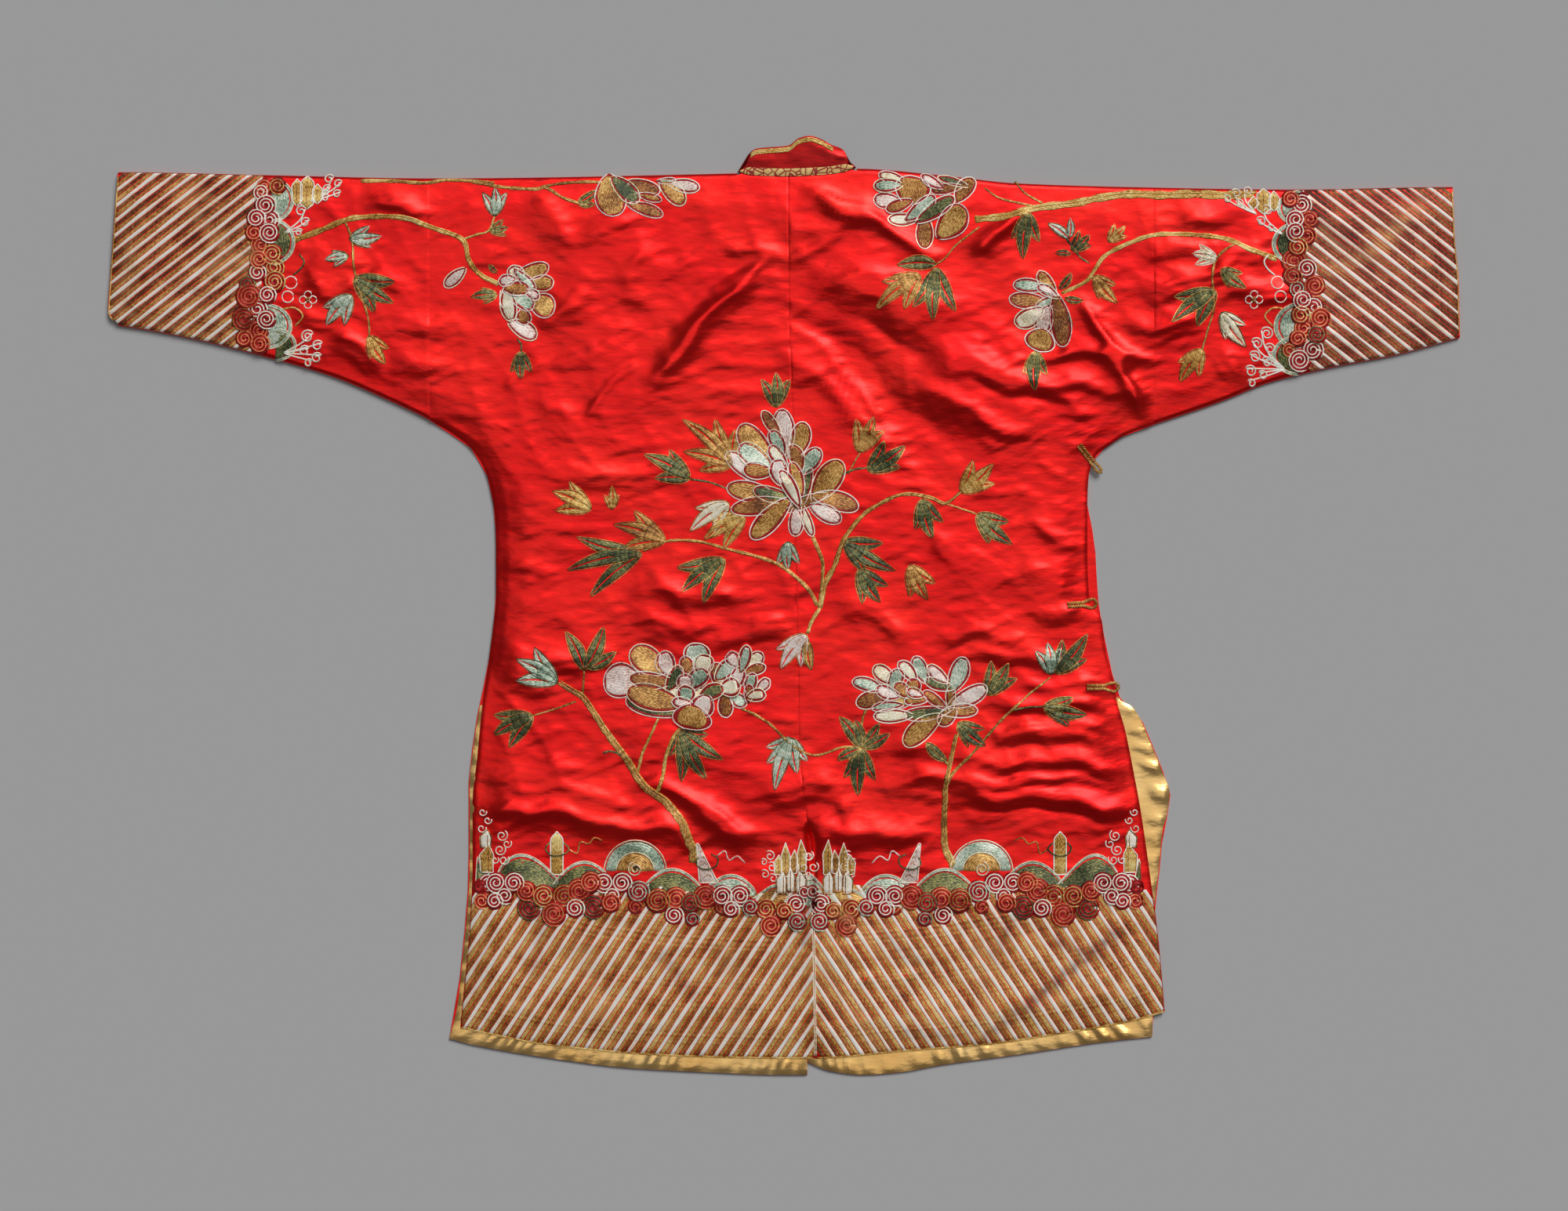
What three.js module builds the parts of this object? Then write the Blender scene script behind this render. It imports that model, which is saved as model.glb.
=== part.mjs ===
// Side-fastening jacket of embroidered red silk satin, laid flat with its back up.
// Units are millimetres: X runs along the sleeves, Y from the hem to the collar, Z up.
// The origin is the middle of the laid-out jacket, on the surface that it lies on.
import * as THREE from "three";

// Cloth thicknesses, with the lining and the embroidery's padding counted in.
const CLOTH = 1.5;
const UNDERLAP_CLOTH = 1.2;
const LINING = 1.0;
const COUCHING = 1.0;
const BRAID = 0.9;
const SEAM = 0.3; // space between pieces that are sewn to or lie on each other

// The underside of each layer, from the surface up.
const FRONT_LEVEL = 0;
const MIDDLE_LEVEL = FRONT_LEVEL + CLOTH + SEAM;
const BACK_LEVEL = MIDDLE_LEVEL + UNDERLAP_CLOTH + SEAM;

// Where cloth turns over at the shoulder and along the sleeves, it goes round this fold.
const FOLD_INNER = (BACK_LEVEL - FRONT_LEVEL - CLOTH) / 2;
const FOLD_OUTER = FOLD_INNER + CLOTH;
const FOLD_ANGLES = [45, 90, 135];

// Main lines of the cut.
const SLEEVE_SEAM_LEFT = -348;
const SLEEVE_SEAM_RIGHT = 363;
const UNDERARM_LEFT = 182;
const UNDERARM_RIGHT = 177.5;
const NECK_LEFT = { x: -46, y: 425 };
const NECK_RIGHT = { x: 71.5, y: 429.5 };
const NECK_DIP = 359; // how low the front neckline goes
const FRONT_NECK_X = 5.4; // where the centre-front seam meets it
const FRONT_NOTCH = { x: 23, y: -449 }; // lower end of the centre-front seam
const BORDER_TOP = -265; // upper edge of the hem's couched border
const CUFF_BORDER_LEFT = -500;
const CUFF_BORDER_RIGHT = 503;
const CUFF_FLAT_LEFT = -660.5; // where the cuffs' ends lie down
const CUFF_FLAT_RIGHT = 660;
const VENT_TOP = -94;
const UNDERLAP_HEM = -84;
const LINING_WIDTH = 46; // how far the lining is built in from the front's edge
const LINING_INSET = 2; // width of red cloth that shows outside the lining

// Number of cells across and along each piece.
const NECK_COLUMNS = 3;
const SIDE_COLUMNS = 10;
const ROWS_BELOW_UNDERARM = 36;
const ROWS_ABOVE_UNDERARM = 14;
// Rows of the fronts, closer together at the underarm: shares of the way up to it, and above it.
const FRONT_BELOW = [0, 0.15, 0.3, 0.45, 0.6, 0.72, 0.8, 0.86, 0.91, 0.955];
const FRONT_ABOVE = [0, 0.33, 0.67, 1];
const FRONT_ROWS = FRONT_BELOW.length + FRONT_ABOVE.length - 1;
const SLEEVE_TOP_POINTS = 15;
const SLEEVE_BOTTOM_POINTS = 4;
const SLEEVE_STATIONS = 8;
const CUFF_STATIONS = 6;

// Where the underarm curves begin, above the waist.
const WAIST_LEFT = { x: -284, y: 86 };
const WAIST_RIGHT = { x: 298, y: 94 };

// Gives each row of a table its column names.
const table = (names, rows) =>
  rows.map((row) => Object.fromEntries(names.split(" ").map((name, i) => [name, row[i]])));

// Sides of the back at each height, from the hem up to the underarm.
const BACK_LEFT_SIDE = table("y x", [
  [-415, -318], [-392, -316], [-330, -310], [-253, -306], [-195, -306], [-145, -301],
  [-103, -297], [-60, -291], [-22, -286], [9, -283], [55, -283], [86, -284], [117, -289],
  [138, -296], [155, -308], [168, -324], [182, -348],
]);
const BACK_RIGHT_SIDE = table("y x", [
  [-399, 374], [-330, 368], [-253, 358], [-199, 350], [-161, 343], [-122, 335], [-94, 327],
  [-68, 322], [-45, 316], [-14, 312], [5, 300], [55, 298], [94, 298], [124, 299],
  [147, 306], [157, 319], [169, 338], [177.5, 363],
]);

// Edges of the fronts, which show beyond the back at the vents and below the hem.
const FRONT_LEFT_SIDE = table("y x", [
  [-426, -329], [-399, -323], [-368, -319], [-253, -310], [-176, -310], [-145, -307],
  [-94, -299], [-60, -291], [-22, -286], [9, -283], [55, -283], [86, -284], [117, -289],
  [138, -296], [155, -308], [168, -324], [182, -348],
]);
const OVERLAP_SIDE = table("y x", [
  [-424, 362], [-403, 363], [-315, 364], [-253, 370], [-222, 373], [-207, 377], [-184, 380],
  [-164, 373], [-137, 362], [-99, 343], [-94, 332], [-45, 318], [5, 309], [90, 306],
  [124, 303], [147, 300],
]);
const OVERLAP_CLOSING = table("x y", [
  [14, 357], [60, 331], [120, 300], [180, 262], [240, 212], [280, 170], [300, 147],
]);

// The centre-back seam leans, and the hems and the neckline curve.
const CENTRE_SEAM = table("y x", [
  [-445, 31], [-322, 29], [-245, 27], [-214, 23], [-137, 15], [-60, 14], [55, 11],
  [209, 8], [286, 5], [425, 4],
]);
const BACK_HEM = table("x y", [
  [-318, -415], [-231, -432], [-116, -442], [0, -445], [31, -445], [116, -438],
  [193, -432], [270, -421], [347, -407], [374, -399],
]);
const FRONT_LEFT_HEM = table("x y", [
  [-329, -426], [-308, -431.6], [-231, -445], [-154, -454.7], [-77, -459], [0, -461.6],
  [23, -461.6],
]);
const OVERLAP_HEM = table("x y", [
  [23, -449], [46, -458], [77, -461.6], [115, -459], [154, -452], [231, -441.6],
  [308, -430], [362, -424],
]);
const SHOULDER = table("x y", [
  [-664, 426], [-654.5, 426], [-500, 423], [-348, 420], [-46, 425], [71.5, 429.5],
  [154, 423], [231, 415], [363, 411], [500, 409], [657, 411.5], [664, 411.5],
]);
const BACK_NECK = table("x y", [[-46, 425.4], [0, 423.5], [38.5, 425], [71.5, 429.9]]);

// Lower edge of each sleeve, with the underarm curve, and the outline of each cuff.
const SLEEVE_LOWER = table("x y", [
  [-664, 276], [-654.5, 275], [-593, 264.5], [-516, 246], [-447, 226], [-385, 200],
  [-348, 182], [-324, 168], [-308, 155], [-296, 138], [-289, 117], [-284, 86],
  [298, 94], [299, 124], [306, 147], [319, 157], [338, 169],
  [363, 177.5], [431, 201], [477, 219], [539, 234], [601, 246], [664, 263],
]);
const CUFF_LEFT = table("g x", [[0, -654.5], [0.071, -664], [0.3, -662], [1, -654.5]]);
const CUFF_RIGHT = table("g x", [[0, 664], [0.36, 663], [0.67, 659], [1, 657]]);

// Outline of the collar's back: its top edge over the base's fraction.
const COLLAR_TOP = table("s x y", [
  [0, -35, 444], [0.1, -27, 449], [0.38, 4, 452], [0.5, 15, 459.5], [0.6, 25, 461.6],
  [0.7, 35, 459], [0.82, 46, 453], [0.93, 58, 448], [1, 64, 437],
]);
const COLLAR_HEIGHT = 44;
const BASE_TRIM_DROP = 3; // how far the base trim reaches below the neck seam
const BASE_TRIM_WIDTH = 7.5;
const TOP_TRIM_WIDTH = 4.5;
const TOP_TRIM_INSET = 1.5;

// Folds of the back and sleeves: middle, half length, turn in degrees from X, sideways bow of
// the ends, half width and rise of the crest.
const FOLDS = table("x y reach turn bow width rise", [
  // left half, above the waist
  [-228, 378, 34, -45, 3, 12, 5], [-175, 372, 30, 15, 3, 11, 4], [-148, 330, 35, 84, 4, 14, 4],
  [-212, 298, 35, 32, 3, 11, 4], [-78, 280, 85, 46, 8, 10, 6.5], [-190, 246, 35, 15, 0, 12, 3.5],
  [-30, 347, 32, -8, 2, 9, 4.5], [-222, 190, 28, -35, 0, 10, 3.5], [-160, 131, 60, -3, 2, 10, 3.5],
  // left half, waist to vent
  [-95, 14, 60, -3, 4, 11, 5], [-104, -17, 42, -8, 0, 10, 4], [-36, -28, 40, 15, 2, 9, 4],
  [-228, -51, 62, 0, 1, 9, 4.5], [-250, -74, 36, -5, 1, 9, 3], [-250, 33, 30, -4, 1, 9, 3],
  // left half, vent to border
  [-240, -165, 46, 3, 2, 9, 4], [-216, -182, 56, -4, 2, 9, 4.5], [-200, -208, 115, -8, 4, 11, 8],
  [-165, -194, 40, 0, 1, 9, 4], [-90, -194, 62, -28, 4, 11, 7], [-62, -216, 38, -20, 2, 9, 5],
  // round the centre seam
  [20, -179, 44, 5, 5, 10, 5], [66, -202, 26, -65, 0, 9, 4], [40, -240, 28, -85, 0, 10, 3],
  [28, 371, 30, 0, 1, 9, 4], [24, 349, 30, 25, 0, 8, 3.5],
  // right half, above the waist
  [55, 400, 42, -22, 3, 9, 3.5], [85, 374, 74, -25, 4, 10, 5], [208, 362, 36, 37, 2, 10, 6],
  [110, 306, 76, -12, 4, 17, 6], [200, 229, 60, -8, 3, 13, 5], [185, 190, 74, -26, 4, 12, 5.5],
  [58, 203, 92, -45, 6, 14, 6], [92, 222, 120, -40, 6, 14, -3.5], [272, 202, 34, -38, 0, 9, 4],
  [308, 248, 58, 0, 2, 8, 4], [300, 216, 52, -3, 2, 8, 4], [326, 240, 70, -57, 3, 9, 6],
  // right half, waist to vent
  [95, -10, 42, -30, 0, 9, 3.5], [172, 55, 30, -15, 0, 11, 4], [268, 70, 36, -18, 2, 11, 4],
  [262, 34, 26, 0, 0, 11, 3.5], [200, -31, 44, -6, 1, 11, 4], [262, -8, 28, 0, 0, 9, 3],
  // right half, vent to border
  [234, -49, 52, -3, 2, 10, 5], [268, -78, 52, -6, 1, 9, 4], [262, -97, 66, -3, 1, 10, 6],
  [260, -127, 64, -6, 2, 10, 4.5], [140, -142, 30, -10, 0, 9, 3], [255, -154, 88, -3, 2, 10, 5],
  [190, -171, 96, 0, 2, 9, 5], [262, -190, 98, -5, 3, 12, 8], [85, -222, 62, -8, 3, 12, 7],
  // left sleeve
  [-378, 394, 36, -25, 3, 11, 5], [-438, 338, 26, 0, 1, 9, 4], [-437, 316, 30, -5, 1, 9, 5],
  [-455, 285, 30, -12, 0, 8, 4], [-420, 250, 34, -35, 2, 10, 5], [-360, 241, 30, -3, 0, 9, 3.5],
  [-352, 280, 32, -2, 0, 9, 3.5], [-385, 318, 24, -25, 0, 9, 4],
  // right sleeve
  [378, 353, 32, 3, 1, 10, 4], [400, 322, 46, 12, 2, 10, 6], [374, 277, 44, 5, 2, 11, 6],
  [425, 387, 36, 5, 2, 12, 5], [450, 343, 30, 3, 0, 9, 5], [468, 311, 34, 0, 1, 9, 4],
  [440, 230, 26, -60, 0, 10, 4],
]);
const LOFT = 3; // how far the lined cloth stands up between its edges
const EDGE_FLAT = 3; // width along the edges where the cloth lies down
const EDGE_EASE = 16; // width over which it rises from there

// Colours as they look in daylight.
const SATIN = { color: 0xc01018, roughness: 0.35, metalness: 0.15 };
const GOLD_SATIN = { color: 0xc8a060, roughness: 0.4, metalness: 0.2 };
const COUCHED_GOLD = { color: 0xa08055, roughness: 0.5, metalness: 0.45 };
const BROCADE = { color: 0xb08040, roughness: 0.5, metalness: 0.4 };
const GOLD_CORD = { color: 0xb09050, roughness: 0.45, metalness: 0.5 };

const radians = (degrees) => (degrees * Math.PI) / 180;
const mix = (a, b, t) => a + (b - a) * t;
const ease = (t) => {
  const s = Math.min(1, Math.max(0, t));
  return s * s * (3 - 2 * s);
};

// Reads a table between its rows: the value in column `of` where column `by` is v.
function read(rows, by, of, v) {
  const last = rows.length - 1;
  let k = 0;
  while (k < last - 1 && rows[k + 1][by] < v) k += 1;
  const span = rows[k + 1][by] - rows[k][by];
  const t = Math.min(1, Math.max(0, (v - rows[k][by]) / span));
  return mix(rows[k][of], rows[k + 1][of], t);
}

const centreSeam = (y) => read(CENTRE_SEAM, "y", "x", y);
const centreFront = (y) => {
  const t = (y - FRONT_NOTCH.y) / (NECK_DIP - FRONT_NOTCH.y);
  return mix(FRONT_NOTCH.x, FRONT_NECK_X, Math.max(0, t));
};
const shoulder = (x) => read(SHOULDER, "x", "y", x);
const closing = (x) => read(OVERLAP_CLOSING, "x", "y", x);

// Distance from a place on the back or a sleeve to the nearest edge of the garment.
function edgeDistance(x, y) {
  const inBody = x > SLEEVE_SEAM_LEFT && x < SLEEVE_SEAM_RIGHT;
  let nearest = (inBody && x > NECK_LEFT.x && x < NECK_RIGHT.x
    ? read(BACK_NECK, "x", "y", x) : shoulder(x)) - y;
  // below the waist, only the sides and the hem are near
  if ((x < WAIST_LEFT.x || x > WAIST_RIGHT.x) && (!inBody || y > WAIST_LEFT.y)) {
    nearest = Math.min(nearest, y - read(SLEEVE_LOWER, "x", "y", x));
  }
  if (inBody && y < UNDERARM_LEFT && x < 0) {
    nearest = Math.min(nearest, x - read(BACK_LEFT_SIDE, "y", "x", y));
  }
  if (inBody && y < UNDERARM_RIGHT && x > 0) {
    nearest = Math.min(nearest, read(BACK_RIGHT_SIDE, "y", "x", y) - x);
  }
  if (inBody) nearest = Math.min(nearest, y - read(BACK_HEM, "x", "y", x));
  const cuff = x < 0 ? x - CUFF_FLAT_LEFT : CUFF_FLAT_RIGHT - x;
  return Math.max(0, Math.min(nearest, cuff));
}

// Height of the folded cloth above its rest level, zero along the edges.
function foldHeight(x, y) {
  let height = LOFT;
  for (const fold of FOLDS) {
    const dx = x - fold.x;
    const dy = y - fold.y;
    const c = Math.cos(radians(fold.turn));
    const s = Math.sin(radians(fold.turn));
    const along = (dx * c + dy * s) / fold.reach;
    if (Math.abs(along) >= 1) continue;
    const across = (dy * c - dx * s + fold.bow * along * along) / fold.width;
    height += fold.rise * Math.exp(-across * across) * ease(1.6 * (1 - Math.abs(along)));
  }
  return Math.max(0.2, height) * ease((edgeDistance(x, y) - EDGE_FLAT) / EDGE_EASE);
}

// Point of a panel from its four edges (a Coons patch): f goes from left to right, v from the
// hem up, and each edge is a function that gives [x, y].
function panelPoint(edges, f, v) {
  const [l, r, b, t] = [edges.left(v), edges.right(v), edges.bottom(f), edges.top(f)];
  const [b0, b1, t0, t1] = [edges.bottom(0), edges.bottom(1), edges.top(0), edges.top(1)];
  return [0, 1].map((k) => {
    const across = mix(l[k], r[k], f) + mix(b[k], t[k], v);
    return across - mix(mix(b0[k], b1[k], f), mix(t0[k], t1[k], f), v);
  });
}

// Closed solid from a sheet of points. point(i, j) gives the inner and outer point of the wall
// at column i and row j. Cells for which skip(i, j) is true are left out, and a rim is made
// along every free edge. With round set, the last column joins the first.
function wall(name, columns, rows, point, look, { skip = () => false, round = false } = {}) {
  const positions = [];
  const place = new Map();
  const wrap = (i) => (round ? i % columns : i);
  const vertex = (i, j, side) => {
    const key = `${wrap(i)},${j},${side}`;
    if (!place.has(key)) {
      place.set(key, positions.length / 3);
      positions.push(...point(wrap(i), j)[side]);
    }
    return place.get(key);
  };
  const faces = [];
  const edges = new Map();
  const quad = (a, b, c, d) => faces.push(a, b, c, a, c, d);
  for (let j = 0; j < rows; j += 1) {
    for (let i = 0; i < columns; i += 1) {
      if (skip(i, j)) continue;
      const ring = [[i, j], [i + 1, j], [i + 1, j + 1], [i, j + 1]];
      const turned = [ring[0], ring[3], ring[2], ring[1]]; // the same diagonal, facing inwards
      quad(...ring.map(([p, q]) => vertex(p, q, "outer")));
      quad(...turned.map(([p, q]) => vertex(p, q, "inner")));
      ring.forEach((from, k) => {
        const to = ring[(k + 1) % 4];
        const back = `${wrap(to[0])},${to[1]}>${wrap(from[0])},${from[1]}`;
        if (edges.has(back)) edges.delete(back);
        else edges.set(`${wrap(from[0])},${from[1]}>${wrap(to[0])},${to[1]}`, [from, to]);
      });
    }
  }
  for (const [from, to] of edges.values()) {
    quad(vertex(...from, "outer"), vertex(...from, "inner"), vertex(...to, "inner"),
      vertex(...to, "outer"));
  }
  const geometry = new THREE.BufferGeometry();
  geometry.setAttribute("position", new THREE.Float32BufferAttribute(positions, 3));
  geometry.setIndex(faces);
  return meshOf(name, geometry, look);
}

function meshOf(name, geometry, look) {
  geometry.computeVertexNormals();
  const material = new THREE.MeshStandardMaterial({ ...look, side: THREE.FrontSide });
  const mesh = new THREE.Mesh(geometry, material);
  mesh.name = name;
  return mesh;
}

// Point of a turned-over edge: it goes round the fold's centre at angle a, measured from
// straight up, towards the direction (ux, uy).
function turnPoint(x, y, ux, uy, a, inner = FOLD_INNER, outer = FOLD_OUTER) {
  const middle = FRONT_LEVEL + FOLD_OUTER;
  const at = (radius) => [
    x + ux * radius * Math.sin(a), y + uy * radius * Math.sin(a), middle + radius * Math.cos(a),
  ];
  return { inner: at(inner), outer: at(outer) };
}

const sheetAt = (x, y, bottom, top) => ({ inner: [x, y, bottom], outer: [x, y, top] });

// Fractions across a body half, counted from its outer side, with one column at the neck point.
function bodyColumns(neckFraction) {
  const fractions = [];
  for (let i = 0; i <= SIDE_COLUMNS; i += 1) {
    fractions.push(neckFraction * (i / SIDE_COLUMNS) ** 1.25);
  }
  for (let i = 1; i <= NECK_COLUMNS; i += 1) {
    fractions.push(mix(neckFraction, 1, i / NECK_COLUMNS));
  }
  return fractions;
}

// Height on a side edge: from the hem to the underarm, and from there to the shoulder.
const ROWS = ROWS_BELOW_UNDERARM + ROWS_ABOVE_UNDERARM;
const UNDERARM_SHARE = ROWS_BELOW_UNDERARM / ROWS;
const sideHeight = (v, hem, underarm, top) =>
  v < UNDERARM_SHARE ? mix(hem, underarm, v / UNDERARM_SHARE)
    : mix(underarm, top, (v - UNDERARM_SHARE) / (1 - UNDERARM_SHARE));

// The two body halves are built alike: f runs from the outer side (0) to the centre (1).
const LEFT = {
  neck: NECK_LEFT,
  seam: SLEEVE_SEAM_LEFT + SEAM / 2,
  underarm: UNDERARM_LEFT,
  backSide: BACK_LEFT_SIDE,
  frontSide: FRONT_LEFT_SIDE,
  centreGap: -SEAM / 2,
  frontHem: (x) => read(FRONT_LEFT_HEM, "x", "y", x),
  frontBottom: -426,
  frontCentre: (y) => centreFront(y) - SEAM / 2,
  neckEnd: FRONT_NECK_X - SEAM / 2,
  level: () => FRONT_LEVEL,
  frontCloth: CLOTH,
};
const RIGHT = {
  neck: NECK_RIGHT,
  seam: SLEEVE_SEAM_RIGHT - SEAM / 2,
  underarm: UNDERARM_RIGHT,
  backSide: BACK_RIGHT_SIDE,
  frontSide: BACK_RIGHT_SIDE,
  centreGap: SEAM / 2,
  frontHem: () => UNDERLAP_HEM,
  frontBottom: UNDERLAP_HEM,
  frontCentre: () => 15,
  neckEnd: 15,
  // the underlap lies on the outer front and comes down to the surface above its closing edge
  level: (x, y) => MIDDLE_LEVEL * ease(((closing(x) - y) * 0.8 + 75) / 40),
  frontCloth: UNDERLAP_CLOTH,
};

// How far the side seam on the left draws the back down onto the front.
function seamDrop(x, y) {
  if (x > 0 || y > UNDERARM_LEFT) return 0;
  const fromSide = x - read(BACK_LEFT_SIDE, "y", "x", y);
  return (BACK_LEVEL - MIDDLE_LEVEL) * (1 - ease(fromSide / 14)) * ease((y - VENT_TOP - 15) / 25);
}

function backPoint(half, fractions) {
  const hemY = (x) => read(BACK_HEM, "x", "y", x);
  const outerHem = half.backSide[0];
  const innerHemX = centreSeam(-445) + half.centreGap;
  const topY = shoulder(half.seam) - FOLD_OUTER;
  const side = (v) => {
    const y = sideHeight(v, outerHem.y, half.underarm, topY);
    return [v >= UNDERARM_SHARE ? half.seam : read(half.backSide, "y", "x", y), y];
  };
  const centre = (v) => {
    const y = mix(hemY(innerHemX), read(BACK_NECK, "x", "y", 4), v);
    return [centreSeam(y) + half.centreGap, y];
  };
  const bottom = (f) => {
    const x = mix(outerHem.x, innerHemX, f);
    return [x, hemY(x)];
  };
  const top = (f) => {
    const x = mix(half.seam, centreSeam(NECK_LEFT.y) + half.centreGap, f);
    const atNeck = (x - half.neck.x) * Math.sign(-half.neck.x) > 0.01;
    return [x, atNeck ? read(BACK_NECK, "x", "y", x) : shoulder(x) - FOLD_OUTER];
  };
  const edges = { left: side, right: centre, bottom, top };
  return (i, j) => panelPoint(edges, fractions[i], j / ROWS);
}

function frontPoint(half, fractions, neckFraction) {
  const outer = { x: read(half.frontSide, "y", "x", half.frontBottom), y: half.frontBottom };
  const innerX = half.frontCentre(FRONT_NOTCH.y);
  const topY = shoulder(half.seam) - FOLD_OUTER;
  const share = (half.underarm - outer.y) / (topY - outer.y);
  const rowShares = [
    ...FRONT_BELOW.map((q) => q * share), ...FRONT_ABOVE.map((q) => mix(share, 1, q)),
  ];
  const side = (v) => {
    const y = mix(outer.y, topY, v);
    return [v >= share ? half.seam : read(half.frontSide, "y", "x", y), y];
  };
  const centre = (v) => {
    const y = mix(half.frontHem(innerX), NECK_DIP, v);
    return [half.frontCentre(y), y];
  };
  const bottom = (f) => {
    const x = mix(outer.x, innerX, f);
    return [x, half.frontHem(x)];
  };
  const top = (f) => {
    const t = Math.max(0, (f - neckFraction) / (1 - neckFraction));
    if (t === 0) {
      const x = mix(half.seam, centreSeam(NECK_LEFT.y) + half.centreGap, f);
      return [x, shoulder(x) - FOLD_OUTER];
    }
    return neckCurve(half, t);
  };
  const edges = { left: side, right: centre, bottom, top };
  return (i, j) => panelPoint(edges, fractions[i], rowShares[j]);
}

// Front neckline: a quarter of an ellipse from the neck point (t = 0) to the centre front.
function neckCurve(half, t) {
  const a = radians(90 * t);
  const start = half.neck.y - FOLD_OUTER;
  return [
    mix(half.neckEnd, half.neck.x, Math.cos(a)), start - (start - NECK_DIP) * Math.sin(a),
  ];
}

function neckFractionOf(half) {
  const centre = centreSeam(NECK_LEFT.y) + half.centreGap;
  return (half.neck.x - half.seam) / (centre - half.seam);
}

// One body half: back from the hem up, over the shoulder fold, and down the front.
function bodyHalf(name, half) {
  const neckFraction = neckFractionOf(half);
  const fractions = bodyColumns(neckFraction);
  const back = backPoint(half, fractions);
  const front = frontPoint(half, fractions, neckFraction);
  const columns = fractions.length - 1;
  const firstFold = ROWS + 1;
  const firstFront = firstFold + FOLD_ANGLES.length;
  const rows = firstFront + FRONT_ROWS;
  const mirrored = half === RIGHT;
  const point = (i, j) => {
    const c = mirrored ? columns - i : i;
    if (j < firstFold) {
      const [x, y] = back(c, j);
      const bottom = BACK_LEVEL + foldHeight(x, y) - seamDrop(x, y);
      return sheetAt(x, y, bottom, bottom + CLOTH);
    }
    if (j < firstFront) {
      const [x, y] = back(c, ROWS);
      return turnPoint(x, y, 0, 1, radians(FOLD_ANGLES[j - firstFold]));
    }
    const [x, y] = front(c, rows - j);
    const low = half.level(x, y);
    const high = low + (j === firstFront ? CLOTH : half.frontCloth);
    return { inner: [x, y, high], outer: [x, y, low] };
  };
  const skip = (i, j) => {
    const c = mirrored ? columns - 1 - i : i;
    return j >= ROWS && j < firstFront && c >= SIDE_COLUMNS;
  };
  return { mesh: wall(name, columns, rows, point, SATIN, { skip }), point, columns };
}

// Outer front from the centre front to the right side, up to the curved closing edge.
function frontOverlap() {
  const lowerRows = 12;
  const upperRows = 6;
  const rows = lowerRows + upperRows;
  const columns = 7;
  const share = lowerRows / rows;
  const corner = OVERLAP_CLOSING[6];
  const left = (v) => {
    const waist = 100;
    const y = v < share ? mix(FRONT_NOTCH.y, waist, v / share)
      : mix(waist, NECK_DIP, (v - share) / (1 - share));
    return [centreFront(y) + SEAM / 2, y];
  };
  const right = (v) => {
    if (v < share) {
      const y = mix(OVERLAP_SIDE[0].y, corner.y, v / share);
      return [read(OVERLAP_SIDE, "y", "x", y), y];
    }
    const x = mix(corner.x, OVERLAP_CLOSING[0].x, (v - share) / (1 - share));
    return [x, closing(x)];
  };
  const bottom = (f) => {
    const x = mix(FRONT_NOTCH.x + SEAM / 2, OVERLAP_SIDE[0].x, f);
    return [x, f === 0 ? FRONT_NOTCH.y : read(OVERLAP_HEM, "x", "y", x)];
  };
  const top = (f) => [mix(left(1)[0], right(1)[0], f), mix(left(1)[1], right(1)[1], f)];
  const edges = { left, right, bottom, top };
  const point = (i, j) => {
    const [x, y] = panelPoint(edges, i / columns, j / rows);
    return sheetAt(x, y, FRONT_LEVEL, FRONT_LEVEL + CLOTH);
  };
  return wall("front_overlap", columns, rows, point, SATIN);
}

// Sleeve: a flattened tube. Columns go round it, rows run from the body to the cuff.
function sleeve(name, side, seam, borderStart, cuff) {
  const rows = SLEEVE_STATIONS + CUFF_STATIONS;
  const turns = FOLD_ANGLES.length;
  const aroundTop = SLEEVE_TOP_POINTS + turns;
  const aroundBottom = aroundTop + SLEEVE_BOTTOM_POINTS;
  const columns = aroundBottom + turns;
  const start = seam + (side * SEAM) / 2;
  const stationX = (j, g) => {
    if (j <= SLEEVE_STATIONS) return mix(start, borderStart, j / SLEEVE_STATIONS);
    return mix(borderStart, read(cuff, "g", "x", g), (j - SLEEVE_STATIONS) / CUFF_STATIONS);
  };
  const across = (g, j) => {
    const x = stationX(j, g);
    const low = read(SLEEVE_LOWER, "x", "y", x) + FOLD_OUTER;
    return [x, mix(low, shoulder(x) - FOLD_OUTER, g)];
  };
  const point = (i, j) => {
    if (i < SLEEVE_TOP_POINTS) {
      const [x, y] = across(i / (SLEEVE_TOP_POINTS - 1), j);
      const bottom = BACK_LEVEL + foldHeight(x, y);
      return sheetAt(x, y, bottom, bottom + CLOTH);
    }
    if (i < aroundTop) {
      const [x, y] = across(1, j);
      return turnPoint(x, y, 0, 1, radians(FOLD_ANGLES[i - SLEEVE_TOP_POINTS]));
    }
    if (i < aroundBottom) {
      const g = 1 - (i - aroundTop) / (SLEEVE_BOTTOM_POINTS - 1);
      const [x, y] = across(g, j);
      return { inner: [x, y, FRONT_LEVEL + CLOTH], outer: [x, y, FRONT_LEVEL] };
    }
    const [x, y] = across(0, j);
    return turnPoint(x, y, 0, -1, radians(180 - FOLD_ANGLES[i - aroundBottom]));
  };
  // columns and rows turn the same way on both sleeves, so that the faces point out
  const ordered = side < 0 ? point : (i, j) => point((columns - i) % columns, j);
  return { mesh: wall(name, columns, rows, ordered, SATIN, { round: true }), point };
}

// A layer that lies on a panel: the panel's own points, moved out.
const raised = (point, from, thick) => (i, j) => {
  const [x, y, z] = point(i, j).outer;
  return sheetAt(x, y, z + from, z + from + thick);
};

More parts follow.
